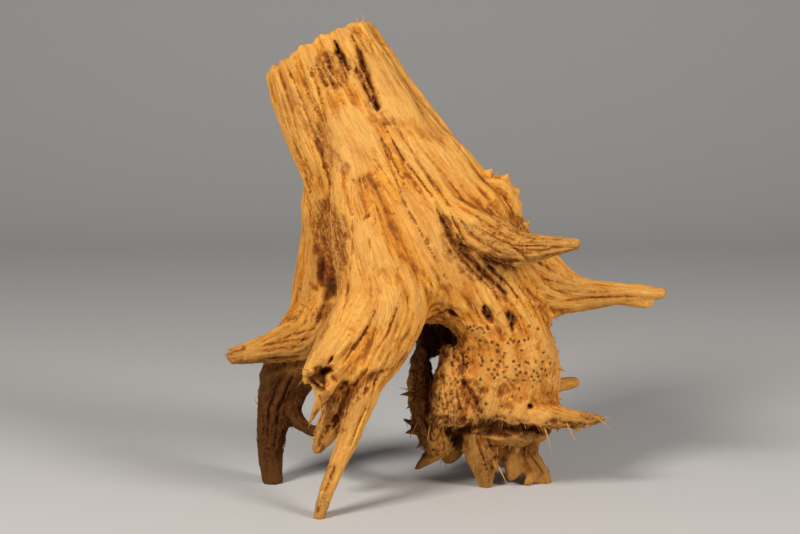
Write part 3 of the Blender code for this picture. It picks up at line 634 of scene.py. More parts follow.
# The limbs have grown together: the creases between them are filled with wood, most of all on the
# trunk and the burl's front, and least in the pocket on the left and between the feet.
FILLINGS = 2
FILL_ROUNDS = 130
MOST_FILL = 14 * MM
LEAST_SHARE, PLATE_SHARE, POCKET_LOSS = 0.25, 0.9, 0.15
FULL_FROM, FULL_FADE = 130 * MM, 50 * MM
PLATE_BACK, PLATE_LEFT, PLATE_FOOT = -5 * MM, -4 * MM, 74 * MM
for _ in range(FILLINGS):
    spots, normals = mesh_arrays(root.data)
    smooth = relaxed(root.data, spots, FILL_ROUNDS)
    x, y, z = spots.T
    fill = LEAST_SHARE + (1 - LEAST_SHARE) * unit((z - FULL_FROM) / FULL_FADE)
    plate = (y < PLATE_BACK) & (x > PLATE_LEFT) & (z > PLATE_FOOT)
    fill = np.where(plate, np.maximum(fill, PLATE_SHARE), fill)
    fill *= 1 - POCKET_LOSS * route_share(spots, 26, GROOVES["pocket"][2], 0) ** 0.5
    lift = np.clip(((smooth - spots) * normals).sum(1), 0, MOST_FILL) * fill
    filled = spots + normals * lift[:, None]
    settled = relaxed(root.data, filled, 4)
    filled += (settled - filled) * unit(lift / (0.5 * MM))[:, None]
    move_vertices(root.data, filled)
root.data = remeshed(root, FINE_VOXEL)

# The way of the grain, on a coarse lattice round the root: the limbs' own ways, blended.
FLOW_STEP = 6 * MM
flow_low = np.array((-0.215, -0.125, -0.02))
flow_count = np.array((74, 45, 78))
lattice = np.stack(np.meshgrid(*[np.arange(count) for count in flow_count], indexing="ij"), axis=-1)
nears, _, ways = limb_places(lattice.reshape(-1, 3) * FLOW_STEP + flow_low)
weight = np.exp(-5 * (nears - nears.min(0)))
flow_field = (weight[:, :, None] * ways).sum(0)
flow_field /= np.linalg.norm(flow_field, axis=1, keepdims=True)
flow_field = flow_field.reshape(*flow_count, 3)


def flow(spots):
    """The way of the grain at each spot."""
    place = np.clip((spots - flow_low) / FLOW_STEP, 0, flow_count - 1.001)
    low = place.astype(np.int64)
    part = place - low
    total = np.zeros((len(spots), 3))
    for corner in range(8):
        bits = np.array((corner & 1, corner >> 1 & 1, corner >> 2 & 1))
        share = np.where(bits, part, 1 - part).prod(1)
        total += share[:, None] * flow_field[tuple((low + bits).T)]
    return total / np.linalg.norm(total, axis=1, keepdims=True)


def flow_paths(spots, step, count):
    """Places along the grain before and after each spot."""
    paths = [spots]
    for way in (step, -step):
        spot = spots
        for _ in range(count):
            spot = spot + way * flow(spot)
            paths.append(spot)
    return paths


def streaks(paths, size, seed):
    """Noise drawn out along the paths: about -2 to 2, with a spread of 1."""
    total = sum(lattice_noise(*(spot / size).T, seed) for spot in paths)
    return total / total.std()


def cloudy(spots, size, seed):
    """Smooth noise from -1 to 1, in lumps of the given size in millimetres."""
    return lattice_noise(*(spots / (size * MM)).T, seed)


def lines_of(values, width):
    """1 on the lines where the values pass through 0, and 0 from the width on."""
    return unit(1 - np.abs(values) / width)


# The relief of the weathered wood, in millimetres along the skin's normals: ribs, valleys and
# splits that follow the grain, threads and hairs between them, crumbs and the burl's lumps.
RIBS, VALLEYS, SPLITS = 0.6, 1.15, 1.4
THREADS, HAIRS = 0.38, 0.22
CRUMBS, CRUMB_THREADS, CRUMB_HAIRS = 1.6, 0.9, 0.7
FRINGE_THREADS, FRINGE_HAIRS, FRINGE_LUMPS = 2.2, 1.2, 1.8
LUMPS, SMALL_LUMPS, PITS, RAGGED = 1.7, 0.9, 0.7, 1.4
BARE_LOSS = 0.75

spots, normals = mesh_arrays(root.data)
nears, _, _ = limb_places(spots)
sizes = np.array([np.mean([min(step[1], step[2]) for step in steps]) for steps in routes.values()])
slim = np.clip(sizes[nears.argmin(0)] / (18 * MM), 0.4, 1)
in_burl = burl_share(spots)
front = unit(-normals[:, 1] / 0.3)
bare = patch_share(spots, BARE) * front
crumbly = patch_share(spots, STAINS_AND_SHADE) * unit(0.6 - normals[:, 1] / 0.4)
crumbly *= np.clip((spots[:, 2] / MM - 14) / 14, 0.15, 1)
fringe = in_burl * unit((22 - spots[:, 0] / MM) / 12)
ragged = in_burl * unit(1 - front)

long_paths = flow_paths(spots, 6 * MM, 8)
short_paths = flow_paths(spots, 3 * MM, 7)
ribs = streaks(long_paths, 11 * MM, 21)
valleys = streaks(long_paths, 7 * MM, 22)
threads = streaks(short_paths, 4 * MM, 23)
hairs = streaks(short_paths, 2.2 * MM, 24)
splits = streaks(long_paths, 5 * MM, 25)
where = unit(cloudy(spots, 34, 26) * 3 + 0.6)

height = RIBS * ribs - VALLEYS * lines_of(valleys, 0.35) * (0.3 + 0.7 * where)
height += THREADS * threads + HAIRS * hairs - SPLITS * lines_of(splits, 0.10) * where
height *= slim * (1 - BARE_LOSS * bare) * (1 - 0.5 * in_burl * (1 - fringe))
height -= fringe * (FRINGE_THREADS * lines_of(threads, 0.5) + FRINGE_HAIRS * lines_of(hairs, 0.5))
height += fringe * FRINGE_LUMPS * cloudy(spots, 4, 35)
crumbs = np.abs(cloudy(spots, 3.4, 27)) + 0.6 * np.abs(cloudy(spots, 1.9, 28))
height -= crumbly * (CRUMBS * crumbs + CRUMB_THREADS * np.abs(threads) + CRUMB_HAIRS * np.abs(hairs))
lumps = cloudy(spots, 17, 29) * LUMPS + cloudy(spots, 7, 30) * SMALL_LUMPS
pitted = lines_of(cloudy(spots, 4.4, 31), 0.16)
swell = in_burl * (lumps * (1 - 0.4 * bare) - PITS * pitted * (1 - bare))
height += swell + ragged * RAGGED * cloudy(spots, 5, 32)
moved = spots + normals * (height[:, None] * MM)

# Cracks, grooves and holes are cut straight back from the front.
wobble = cloudy(spots, 5, 33) * 0.8 + cloudy(spots, 2, 34) * 0.4
deepest = np.zeros(len(spots))
for half_width, depth, route in GROOVES.values():
    cover = route_share(spots, half_width, route, wobble)
    deepest = np.maximum(deepest, depth * cover * (2 - cover))
moved[:, 1] += deepest * MM * unit((0.25 - normals[:, 1]) / 0.5)

# Thorns are drawn out of the skin: the ones listed, small ones all round the burl's sides and
# back, and short ones that hang from its lower lip.
THORN_BASE = 5.0 * MM
MOST_THORNS, THORN_GAP, THORN_LENGTH, SMALL_BASE = 120, 8 * MM, 5.5 * MM, 3.4 * MM
MOST_HUNG, HUNG_GAP = 80, 5 * MM
LIP_FOOT, LIP_TOP, LIP_RIGHT, LIP_BACK = 66 * MM, 75 * MM, 72 * MM, -10 * MM
LIP_CENTRE = np.array((42, 4, 0)) * MM


def rows_apart(rows, tries, gap, most):
    """Rows picked at random, whose spots keep the gap from each other."""
    picked = []
    for row in random.sample(list(rows), min(tries, len(rows))):
        clear = all(np.linalg.norm(spots[row] - spots[other]) > gap for other in picked)
        if clear and len(picked) < most:
            picked.append(row)
    return picked


random.seed(11)
thorns = [(np.array(row[:3]) * MM, np.array(row[3:]) * MM, THORN_BASE) for row in THORNS]
burl_rows = np.flatnonzero((in_burl > 0.6) & (normals[:, 2] < 0.7) & (normals[:, 1] > -0.45))
for row in rows_apart(burl_rows, 4000, THORN_GAP, MOST_THORNS):
    way = normals[row] + np.array((0, 0, random.uniform(-0.9, 0.3)))
    size = random.choice((0.45, 0.6, 0.8, 1.3))
    tip = spots[row] + way * THORN_LENGTH * size
    thorns.append((spots[row], tip, SMALL_BASE * min(size, 1.0)))
in_lip = (spots[:, 2] > LIP_FOOT) & (spots[:, 2] < LIP_TOP) & (in_burl > 0.3)
lip_rows = np.flatnonzero(in_lip & ((spots[:, 0] < LIP_RIGHT) | (spots[:, 1] > LIP_BACK)))
for row in rows_apart(lip_rows, 900, HUNG_GAP, MOST_HUNG):
    out = (spots[row] - LIP_CENTRE) * (1, 1, 0)
    way = out / np.linalg.norm(out) * random.uniform(0.1, 0.8) + np.array((0, 0, -1))
    length = random.choice((1.5, 2.5, 3.5, 6.0))
    thorns.append((spots[row], spots[row] + way * length * MM, random.uniform(2.0, 3.2) * MM))
for foot, tip, radius in thorns:
    away = np.linalg.norm(spots - foot, axis=1)
    near = away < radius
    pull = (1 - away[near] / radius) ** 1.4
    moved[near] += pull[:, None] * (tip - foot)

# Each pin knot is a pit with a raised lip, and the wood around it is drawn up a little.
generator = np.random.default_rng(3)
facing = np.flatnonzero((in_burl > 0) & (normals[:, 1] < -0.2))
front_spots = moved[facing]
for x, z in KNOTS:
    x, z = x * MM, z * MM
    size = KNOT_RADIUS * generator.uniform(0.7, 1.25)
    stretch = generator.uniform(0.8, 1.25)
    away = np.hypot((front_spots[:, 0] - x) * stretch, (front_spots[:, 2] - z) / stretch) / size
    raised = np.exp(-((away - 1.15) / 0.4) ** 2) * 0.55 + unit(1 - away / 3) * 0.35
    sunk = unit(1.05 - away) * 2.0
    front_spots[:, 1] -= (raised - sunk) * MM
moved[facing] = front_spots
move_vertices(root.data, moved)

# The skin is thinned, cut level where the root stands, and set over the middle of its extents.
thin = root.modifiers.new("thin", "DECIMATE")
thin.ratio = min(1.0, MOST_TRIANGLES / (2 * len(root.data.polygons)))
thin.use_collapse_triangulate = True
root.data = applied_mesh(root)
root.modifiers.clear()

shape = bmesh.new()
shape.from_mesh(root.data)
cut = bmesh.ops.bisect_plane(
    shape,
    geom=shape.verts[:] + shape.edges[:] + shape.faces[:],
    plane_co=(0, 0, 0),
    plane_no=(0, 0, -1),
    clear_outer=True,
)
rim = [item for item in cut["geom_cut"] if isinstance(item, bmesh.types.BMEdge)]
bmesh.ops.holes_fill(shape, edges=rim)
bmesh.ops.triangulate(shape, faces=[face for face in shape.faces if len(face.verts) > 3])
bmesh.ops.recalc_face_normals(shape, faces=shape.faces)
bmesh.ops.translate(shape, verts=shape.verts, vec=-MIDDLE)
shape.to_mesh(root.data)
shape.free()
root.data.shade_smooth()

# What the colours follow, as attributes of the skin. The grain's place is kept for each corner of
# a face, from the two limbs nearest to that face, so that it never slides from limb to limb.
spots, normals = mesh_arrays(root.data)
corners = np.empty(len(root.data.polygons) * 3, np.int64)
root.data.polygons.foreach_get("vertices", corners)
triangles = corners.reshape(-1, 3)
table_spots = spots + np.array(MIDDLE)
nears, places, _ = limb_places(table_spots)
order, first_share = two_nearest(nears[:, triangles].mean(2))


def keep(name, values, kind="FLOAT", domain="POINT"):
    """Stores the values as an attribute of the root's skin."""
    layer = root.data.attributes.new(name, kind, domain)
    field = "vector" if kind == "FLOAT_VECTOR" else "value"
    layer.data.foreach_set(field, np.ascontiguousarray(values, np.float32).ravel())


keep("grain_first", places[order[0].repeat(3), corners], "FLOAT_VECTOR", "CORNER")
keep("grain_second", places[order[1].repeat(3), corners], "FLOAT_VECTOR", "CORNER")
keep("grain_share", first_share.repeat(3), domain="CORNER")
keep("grain_way", flow(table_spots), "FLOAT_VECTOR")
keep("burl", burl_share(table_spots))
front = unit(0.6 - normals[:, 1] / 0.4)
keep("stain_and_shade", patch_share(table_spots, STAINS_AND_SHADE) * front)
keep("bare", patch_share(table_spots, BARE) * front)

# Painted shade: the rear left leg, the back, the underside, the burl's left lobe and the shade places are
# darkened where shade falls on them.
x, y, z = (table_spots / MM).T
fading = 12 + 1.8 * np.clip(y + 5, 0, 40)
uneven = 5 * lattice_noise(x / 14, y / 14, z / 30, 44)
leg = unit((119 + 0.35 * (fading - 12) + uneven - z) / fading)
leg *= unit((-104 - x) / 10) * unit((y + 38) / 14)
under = unit((62 - z) / 16) * unit((x + 45) / 10) * 0.42
lobe = unit((-4 - x) / 12) * unit((x + 45) / 10) * unit((140 - z) / 10) * 0.75
strand = unit((y - 20) / 20) * unit((200 - z) / 60) * 0.7
shaded = patch_share(table_spots, SHADES) * front
keep("painted_shade", np.max([leg, under, lobe, strand, shaded], axis=0))

# The eyes of the pin knots, darkened as painted shade in their pits, and streaks of tone along the grain.
eyes = np.zeros(len(spots))
for knot_x, knot_z in KNOTS:
    away = np.hypot(table_spots[:, 0] / MM - knot_x, table_spots[:, 2] / MM - knot_z)
    eyes = np.maximum(eyes, unit(1.5 - away / 1.3))
keep("knot_pit_shade", eyes * (normals[:, 1] < 0) * (table_spots[:, 1] < 0))
tone_paths = flow_paths(table_spots, 4 * MM, 7)
keep("streak_broad", streaks(tone_paths, 6 * MM, 41))
keep("streak_fine", streaks(tone_paths, 2.6 * MM, 42))

# How deep a spot lies beside its neighbours, in millimetres: above 0 in a hollow.
near_mean = relaxed(root.data, spots, 3)
far_mean = relaxed(root.data, near_mean, 22)
hollow = ((near_mean - spots) * normals).sum(1) + ((far_mean - spots) * normals).sum(1)
keep("hollow", hollow / MM)

# How sheltered a spot is from the sky and the room: the share of short rays that meet the wood; the colour
# is darkened by it as painted shade.
RAYS = 12
SHELTER_REACH = 60 * MM
skin = BVHTree.FromPolygons(spots.tolist(), triangles.tolist())
generator = np.random.default_rng(5)
fan = generator.normal(size=(len(spots), RAYS, 3))
fan /= np.linalg.norm(fan, axis=2, keepdims=True)
fan = fan + normals[:, None, :] * 1.05
fan /= np.linalg.norm(fan, axis=2, keepdims=True)
starts = spots + normals * 0.6 * MM
occlusion_shade = np.zeros(len(spots))
for row, (start, ways_out) in enumerate(zip(starts.tolist(), fan.tolist())):
    occlusion_shade[row] = sum(skin.ray_cast(start, way, SHELTER_REACH)[0] is not None for way in ways_out)
keep("occlusion_shade", relaxed(root.data, occlusion_shade / RAYS, 3, 0.6))

# How much loose wood a spot carries: most in crumbly places, on the torn rim and on the burl's left.
rim_near = unit((z - 0.42 * x - 436) / 8)
frayed = 0.05 + patch_share(table_spots, STAINS_AND_SHADE) * front
frayed = np.maximum(frayed, burl_share(table_spots) * np.clip((20 - x) / 14, 0.12, 0.9))
frayed = np.maximum(frayed, np.maximum(0.15 * rim_near, unit(hollow / MM) * 0.4))
frayed *= (1 - 0.8 * patch_share(table_spots, BARE)) * (z > 4)
keep("frayed", frayed)


def shader(tree, kind, **settings):
    """Adds one shader node with the given properties."""
    node = tree.nodes.new(kind)
    for name, value in settings.items():
        setattr(node, name, value)
    return node


def stretched_noise(tree, place, across, along, detail, roughness=0.5):
    """Noise drawn out along the grain; the sizes are in metres."""
    scaled = shader(tree, "ShaderNodeVectorMath", operation="MULTIPLY")
    scaled.inputs[1].default_value = (1 / across, 1 / across, 1 / along)
    tree.links.new(place, scaled.inputs[0])
    texture = shader(tree, "ShaderNodeTexNoise")
    texture.inputs["Scale"].default_value = 1.0
    texture.inputs["Detail"].default_value = detail
    texture.inputs["Roughness"].default_value = roughness
    tree.links.new(scaled.outputs[0], texture.inputs["Vector"])
    return texture.outputs["Fac"]


def ranged(tree, value, low, high, out_low=0.0, out_high=1.0):
    """Maps a value's range to another, held at both ends."""
    node = shader(tree, "ShaderNodeMapRange")
    for name, number in (("From Min", low), ("From Max", high), ("To Min", out_low), ("To Max", out_high)):
        node.inputs[name].default_value = number
    tree.links.new(value, node.inputs["Value"])
    return node.outputs["Result"]


def maths(tree, operation, first, second):
    """One sum on two values, each a socket or a number."""
    node = shader(tree, "ShaderNodeMath", operation=operation)
    for socket, value in zip(node.inputs, (first, second)):
        if isinstance(value, (int, float)):
            socket.default_value = value
        else:
            tree.links.new(value, socket)
    return node.outputs[0]


def times(tree, first, second):
    """The product of two values, each a socket or a number."""
    return maths(tree, "MULTIPLY", first, second)


def mixed(tree, share, first, second, kind="RGBA"):
    """A blend of two colours or values; each is a socket or a constant."""
    node = shader(tree, "ShaderNodeMix", data_type=kind)
    chosen = {"RGBA": (6, 7, 2), "FLOAT": (2, 3, 0), "VECTOR": (4, 5, 1)}[kind]
    for index, value in ((0, share), (chosen[0], first), (chosen[1], second)):
        if isinstance(value, bpy.types.NodeSocket):
            tree.links.new(value, node.inputs[index])
        else:
            node.inputs[index].default_value = value
    return node.outputs[chosen[2]]


# The grain of dry conifer wood, from the place in a limb laid out straight: broad bands, strips and
# fibres as tones, thin cracks as a mask, and a height.
grain = bpy.data.node_groups.new("weathered_grain", "ShaderNodeTree")
grain.interface.new_socket("Place", in_out="INPUT", socket_type="NodeSocketVector")
grain.interface.new_socket("Tones", in_out="OUTPUT", socket_type="NodeSocketVector")
grain.interface.new_socket("Cracks", in_out="OUTPUT", socket_type="NodeSocketFloat")
grain.interface.new_socket("Height", in_out="OUTPUT", socket_type="NodeSocketFloat")
group_in = shader(grain, "NodeGroupInput")
group_out = shader(grain, "NodeGroupOutput")
place = group_in.outputs["Place"]
bands = stretched_noise(grain, place, 9 * MM, 130 * MM, 2.0)
strips = stretched_noise(grain, place, 2.4 * MM, 50 * MM, 3.0, 0.6)
fibres = stretched_noise(grain, place, 0.9 * MM, 20 * MM, 2.0, 0.6)
lines = stretched_noise(grain, place, 5 * MM, 70 * MM, 2.0, 0.55)
off_middle = maths(grain, "ABSOLUTE", maths(grain, "SUBTRACT", lines, 0.5), 0.0)
cracks = ranged(grain, off_middle, 0.0, 0.022, 1.0, 0.0)
gathered = shader(grain, "ShaderNodeCombineXYZ")
for socket, value in zip(gathered.inputs, (bands, strips, fibres)):
    grain.links.new(value, socket)
ridges = maths(grain, "ADD", times(grain, strips, 0.6), times(grain, fibres, 0.4))
ridges = maths(grain, "SUBTRACT", ridges, times(grain, cracks, 0.35))
grain.links.new(gathered.outputs[0], group_out.inputs["Tones"])
grain.links.new(cracks, group_out.inputs["Cracks"])
grain.links.new(ridges, group_out.inputs["Height"])

# Bleached, honey-yellow wood that turns red-brown in its hollows, with painted shade: nearly black in its
# deepest hollows and knot pits, and dark brown where it is occluded and on its shaded side.
BLEACHED = (
    (0.22, (0.38, 0.112, 0.013)), (0.34, (0.60, 0.212, 0.023)),
    (0.44, (0.73, 0.305, 0.039)), (0.58, (0.80, 0.395, 0.080)),
)
HONEY, PALE, CREST = (0.68, 0.255, 0.027), (0.76, 0.40, 0.115), (0.82, 0.46, 0.125)
BURL_DARK, BURL_PALE = (0.39, 0.115, 0.014, 1), (0.68, 0.280, 0.044, 1)
STAIN_AND_SHADE_BROWN, CRACKED, VALLEY = (0.27, 0.074, 0.010), (0.26, 0.085, 0.016), (0.25, 0.066, 0.009)
# Colours of painted shade: the deepest hollows, occluded places, knot pits and the shaded side.
DEEP_HOLLOW_SHADE, OCCLUSION_SHADE_BROWN = (0.035, 0.010, 0.003), (0.085, 0.022, 0.004)
KNOT_PIT_SHADE, PAINTED_SHADE_BROWN = (0.090, 0.028, 0.008), (0.056, 0.013, 0.002)


def new_material(name, roughness, specular):
    """A material, its nodes and its surface, with the given gloss."""
    material = bpy.data.materials.new(name)
    material.use_nodes = True
    surface = material.node_tree.nodes["Principled BSDF"]
    surface.inputs["Roughness"].default_value = roughness
    surface.inputs["Specular IOR Level"].default_value = specular
    return material, material.node_tree, surface


def attribute(tree, name, output="Fac"):
    """The value of one of the skin's attributes."""
    node = shader(tree, "ShaderNodeAttribute", attribute_name=name)
    return node.outputs[output]


wood, tree, wood_surface = new_material("bleached_wood", 0.70, 0.12)
found = []
for name in ("grain_first", "grain_second"):
    node = shader(tree, "ShaderNodeGroup", node_tree=grain)
    tree.links.new(attribute(tree, name, "Vector"), node.inputs["Place"])
    found.append(node)
nearer = attribute(tree, "grain_share")
tones = mixed(tree, nearer, found[1].outputs["Tones"], found[0].outputs["Tones"], "VECTOR")
cracks = mixed(tree, nearer, found[1].outputs["Cracks"], found[0].outputs["Cracks"], "FLOAT")
grain_height = mixed(tree, nearer, found[1].outputs["Height"], found[0].outputs["Height"], "FLOAT")
split = shader(tree, "ShaderNodeSeparateXYZ")
tree.links.new(tones, split.inputs[0])
bands, strips, fibres = split.outputs
tone = maths(tree, "ADD", times(tree, bands, 0.35), times(tree, strips, 0.45))
for name, weight in (("streak_broad", 0.035), ("streak_fine", 0.045)):
    tone = maths(tree, "ADD", tone, times(tree, attribute(tree, name), weight))
ramp = shader(tree, "ShaderNodeValToRGB")
tree.links.new(tone, ramp.inputs[0])
while len(ramp.color_ramp.elements) < len(BLEACHED):
    ramp.color_ramp.elements.new(0.5)
for element, (spot, colour) in zip(ramp.color_ramp.elements, BLEACHED):
    element.position = spot
    element.color = (*colour, 1)
colour = ramp.outputs[0]
coordinates = shader(tree, "ShaderNodeTexCoord").outputs["Object"]
mottle = stretched_noise(tree, coordinates, 6 * MM, 6 * MM, 4.0, 0.6)
cloud = stretched_noise(tree, coordinates, 28 * MM, 28 * MM, 3.0, 0.55)
speckle = stretched_noise(tree, coordinates, 1.6 * MM, 1.6 * MM, 2.0, 0.6)


def tinted(share, colour, tint):
    """The colour with a share of it turned to the tint."""
    return mixed(tree, share, colour, (*tint, 1))


seen = {
    name: attribute(tree, name)
    for name in ("bare", "burl", "stain_and_shade", "painted_shade", "hollow", "occlusion_shade", "knot_pit_shade")
}
colour = tinted(ranged(tree, cloud, 0.40, 0.65, 0.0, 0.45), colour, HONEY)
colour = tinted(times(tree, seen["bare"], 0.55), colour, PALE)
patchy = ranged(tree, mottle, 0.35, 0.65)
burl_colour = mixed(tree, patchy, BURL_DARK, BURL_PALE)
colour = mixed(tree, times(tree, seen["burl"], 0.75), colour, burl_colour)
# Stained places turn brown; on the table's shade places the brown is painted shade.
broken = times(tree, seen["stain_and_shade"], ranged(tree, mottle, 0.32, 0.60, 0.35, 1.25))
colour = tinted(ranged(tree, broken, 0.0, 1.0, 0.0, 0.85), colour, STAIN_AND_SHADE_BROWN)
lines = times(tree, cracks, ranged(tree, seen["burl"], 0.0, 1.0, 0.6, 0.1))
lines = times(tree, lines, ranged(tree, seen["bare"], 0.0, 1.0, 1.0, 0.45))
lines = times(tree, lines, ranged(tree, nearer, 0.5, 0.75, 0.2, 1.0))
colour = tinted(lines, colour, CRACKED)
rough = ranged(tree, seen["bare"], 0.0, 1.0, 1.0, 0.25)
brown = times(tree, ranged(tree, seen["hollow"], 0.25, 1.6, 0.0, 0.8), rough)
colour = tinted(brown, colour, VALLEY)
# Painted shade: the deepest hollows, holes and cracks are drawn nearly black.
colour = tinted(ranged(tree, seen["hollow"], 1.6, 4.0, 0.0, 0.9), colour, DEEP_HOLLOW_SHADE)
colour = tinted(ranged(tree, seen["hollow"], -0.3, -1.4, 0.0, 0.45), colour, CREST)
# Painted shade where the skin is occluded by the wood round it.
colour = tinted(ranged(tree, seen["occlusion_shade"], 0.30, 0.85, 0.0, 0.9), colour, OCCLUSION_SHADE_BROWN)
# Painted shade in the pits of the pin knots.
colour = tinted(times(tree, seen["knot_pit_shade"], 0.85), colour, KNOT_PIT_SHADE)
# Painted shade on the rear left leg, the back, the underside, the burl's left lobe and the shade places.
colour = tinted(times(tree, seen["painted_shade"], 0.9), colour, PAINTED_SHADE_BROWN)
brightness = ranged(tree, fibres, 0.3, 0.7, 0.82, 1.14)
brightness = times(tree, brightness, ranged(tree, speckle, 0.28, 0.40, 0.78, 1.0))
final = shader(tree, "ShaderNodeVectorMath", operation="SCALE")
tree.links.new(colour, final.inputs[0])
tree.links.new(brightness, final.inputs["Scale"])
tree.links.new(final.outputs[0], wood_surface.inputs["Base Color"])
bump = shader(tree, "ShaderNodeBump")
bump.inputs["Strength"].default_value = 0.85
bump.inputs["Distance"].default_value = 0.9 * MM
relief = maths(tree, "ADD", grain_height, times(tree, mottle, 0.25))
tree.links.new(relief, bump.inputs["Height"])
tree.links.new(bump.outputs[0], wood_surface.inputs["Normal"])
root.data.materials.append(wood)

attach(root, "root")
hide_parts("driftwood_root")

# Loose slivers: thin splinters of the same wood that the weather has torn up along the grain.
# They lie where the wood is crumbly, broken or frayed, and each still holds on at its thick end.
SLIVERS_PER_SQUARE_METRE = 26000.0
SHORTEST_SLIVER = 3 * MM
LONGEST_SLIVER = 9 * MM
NARROWEST_SLIVER, WIDEST_SLIVER = 0.20 * MM, 0.50 * MM
THINNEST_SLIVER, THICKEST_SLIVER = 0.12 * MM, 0.30 * MM
# Along a sliver of length 1: place, half width, rise.
SLIVER_SHAPE = (
    (0.0, 0.5, -0.2), (0.2, 1.0, 0.0), (0.5, 0.8, 0.15), (0.8, 0.45, 0.4), (1.0, 0.1, 0.7),
)

shape = bmesh.new()
rings = []
for place, half_width, rise in SLIVER_SHAPE:
    ring = []
    for across, up in ((1, 0), (0, 1), (-1, 0), (0, -1)):
        ring.append(shape.verts.new((place, across * half_width, rise + up * half_width)))
    rings.append(ring)
for low, high in zip(rings, rings[1:]):
    for i in range(4):
        j = (i + 1) % 4
        shape.faces.new((low[i], high[i], high[j], low[j]))
shape.faces.new(rings[0])
shape.faces.new(rings[-1][::-1])
bmesh.ops.recalc_face_normals(shape, faces=shape.faces)
sliver_mesh = bpy.data.meshes.new("one_sliver")
shape.to_mesh(sliver_mesh)
shape.free()
one_sliver = bpy.data.objects.new("one_sliver", sliver_mesh)

sliver_wood, tree, sliver_surface = new_material("sliver_wood", 0.65, 0.12)
straw = mixed(tree, attribute(tree, "tone"), (0.50, 0.200, 0.032, 1), (0.82, 0.480, 0.150, 1))
brown = mixed(tree, attribute(tree, "tone"), (0.10, 0.030, 0.006, 1), (0.55, 0.210, 0.040, 1))
deep = mixed(tree, attribute(tree, "tone"), (0.030, 0.010, 0.003, 1), (0.16, 0.050, 0.011, 1))
# The slivers turn brown on the stained and painted-shade places, and nearly black as painted shade where
# the skin is occluded and on its shaded side.
straw = mixed(tree, times(tree, attribute(tree, "stain_and_shade"), 0.6), straw, brown)
sheltered = ranged(tree, attribute(tree, "occlusion_shade"), 0.20, 0.65)
dark = maths(tree, "MAXIMUM", sheltered, attribute(tree, "painted_shade"))
tree.links.new(mixed(tree, dark, straw, deep), sliver_surface.inputs["Base Color"])

scatter = bpy.data.node_groups.new("slivers_along_the_grain", "GeometryNodeTree")
scatter.is_modifier = True
scatter_in = shader(scatter, "NodeGroupInput")
scatter_out = shader(scatter, "NodeGroupOutput")
for name, kind in (
    ("Skin", "NodeSocketGeometry"), ("Sliver", "NodeSocketObject"), ("Wood", "NodeSocketMaterial"),
    ("Most", "NodeSocketFloat"), ("Shortest", "NodeSocketFloat"), ("Longest", "NodeSocketFloat"),
    ("Seed", "NodeSocketInt"),
):
    scatter.interface.new_socket(name, in_out="INPUT", socket_type=kind)
scatter.interface.new_socket("Slivers", in_out="OUTPUT", socket_type="NodeSocketGeometry")


def named(name, kind):
    """The value of a named attribute."""
    node = shader(scatter, "GeometryNodeInputNamedAttribute", data_type=kind)
    node.inputs["Name"].default_value = name
    return node.outputs["Attribute"]


def chance(low, high, step, kind="FLOAT"):
    """A random value for each sliver; low and high are numbers, sockets or three numbers."""
    node = shader(scatter, "FunctionNodeRandomValue", data_type=kind)
    index = {"FLOAT_VECTOR": 0, "FLOAT": 2}[kind]
    for socket, value in ((node.inputs[index], low), (node.inputs[index + 1], high)):
        if isinstance(value, bpy.types.NodeSocket):
            scatter.links.new(value, socket)
        else:
            socket.default_value = value
    scatter.links.new(maths(scatter, "ADD", scatter_in.outputs["Seed"], float(step)), node.inputs["Seed"])
    return node.outputs[{"FLOAT_VECTOR": 0, "FLOAT": 1}[kind]]


spread = shader(scatter, "GeometryNodeDistributePointsOnFaces", distribute_method="RANDOM")
scatter.links.new(scatter_in.outputs["Skin"], spread.inputs["Mesh"])
crowding = times(scatter, named("frayed", "FLOAT"), scatter_in.outputs["Most"])
scatter.links.new(crowding, spread.inputs["Density"])
scatter.links.new(scatter_in.outputs["Seed"], spread.inputs["Seed"])
turned = shader(scatter, "ShaderNodeVectorMath", operation="SCALE")
scatter.links.new(named("grain_way", "FLOAT_VECTOR"), turned.inputs[0])
scatter.links.new(maths(scatter, "SIGN", chance(-1.0, 1.0, 1), 0.0), turned.inputs["Scale"])
along = shader(scatter, "FunctionNodeAlignRotationToVector", axis="X")
scatter.links.new(turned.outputs[0], along.inputs["Vector"])
upright = shader(scatter, "FunctionNodeAlignRotationToVector", axis="Z", pivot_axis="X")
scatter.links.new(along.outputs[0], upright.inputs["Rotation"])
scatter.links.new(spread.outputs["Normal"], upright.inputs["Vector"])
lifted = shader(scatter, "FunctionNodeEulerToRotation")
scatter.links.new(chance((-0.6, -0.20, -0.22), (0.6, 0.04, 0.22), 2, "FLOAT_VECTOR"), lifted.inputs[0])
bent = shader(scatter, "FunctionNodeRotateRotation", rotation_space="LOCAL")
scatter.links.new(upright.outputs[0], bent.inputs[0])
scatter.links.new(lifted.outputs[0], bent.inputs[1])
length = chance(scatter_in.outputs["Shortest"], scatter_in.outputs["Longest"], 3)
size = shader(scatter, "ShaderNodeCombineXYZ")
scatter.links.new(length, size.inputs[0])
scatter.links.new(chance(NARROWEST_SLIVER, WIDEST_SLIVER, 4), size.inputs[1])
scatter.links.new(chance(THINNEST_SLIVER, THICKEST_SLIVER, 5), size.inputs[2])
source = shader(scatter, "GeometryNodeObjectInfo")
scatter.links.new(scatter_in.outputs["Sliver"], source.inputs["Object"])
laid = shader(scatter, "GeometryNodeInstanceOnPoints")
for value, name in (
    (spread.outputs["Points"], "Points"), (source.outputs["Geometry"], "Instance"),
    (bent.outputs[0], "Rotation"), (size.outputs[0], "Scale"),
):
    scatter.links.new(value, laid.inputs[name])
toned = shader(scatter, "GeometryNodeStoreNamedAttribute", data_type="FLOAT", domain="INSTANCE")
toned.inputs["Name"].default_value = "tone"
scatter.links.new(laid.outputs[0], toned.inputs["Geometry"])
scatter.links.new(chance(0.0, 1.0, 6), toned.inputs["Value"])
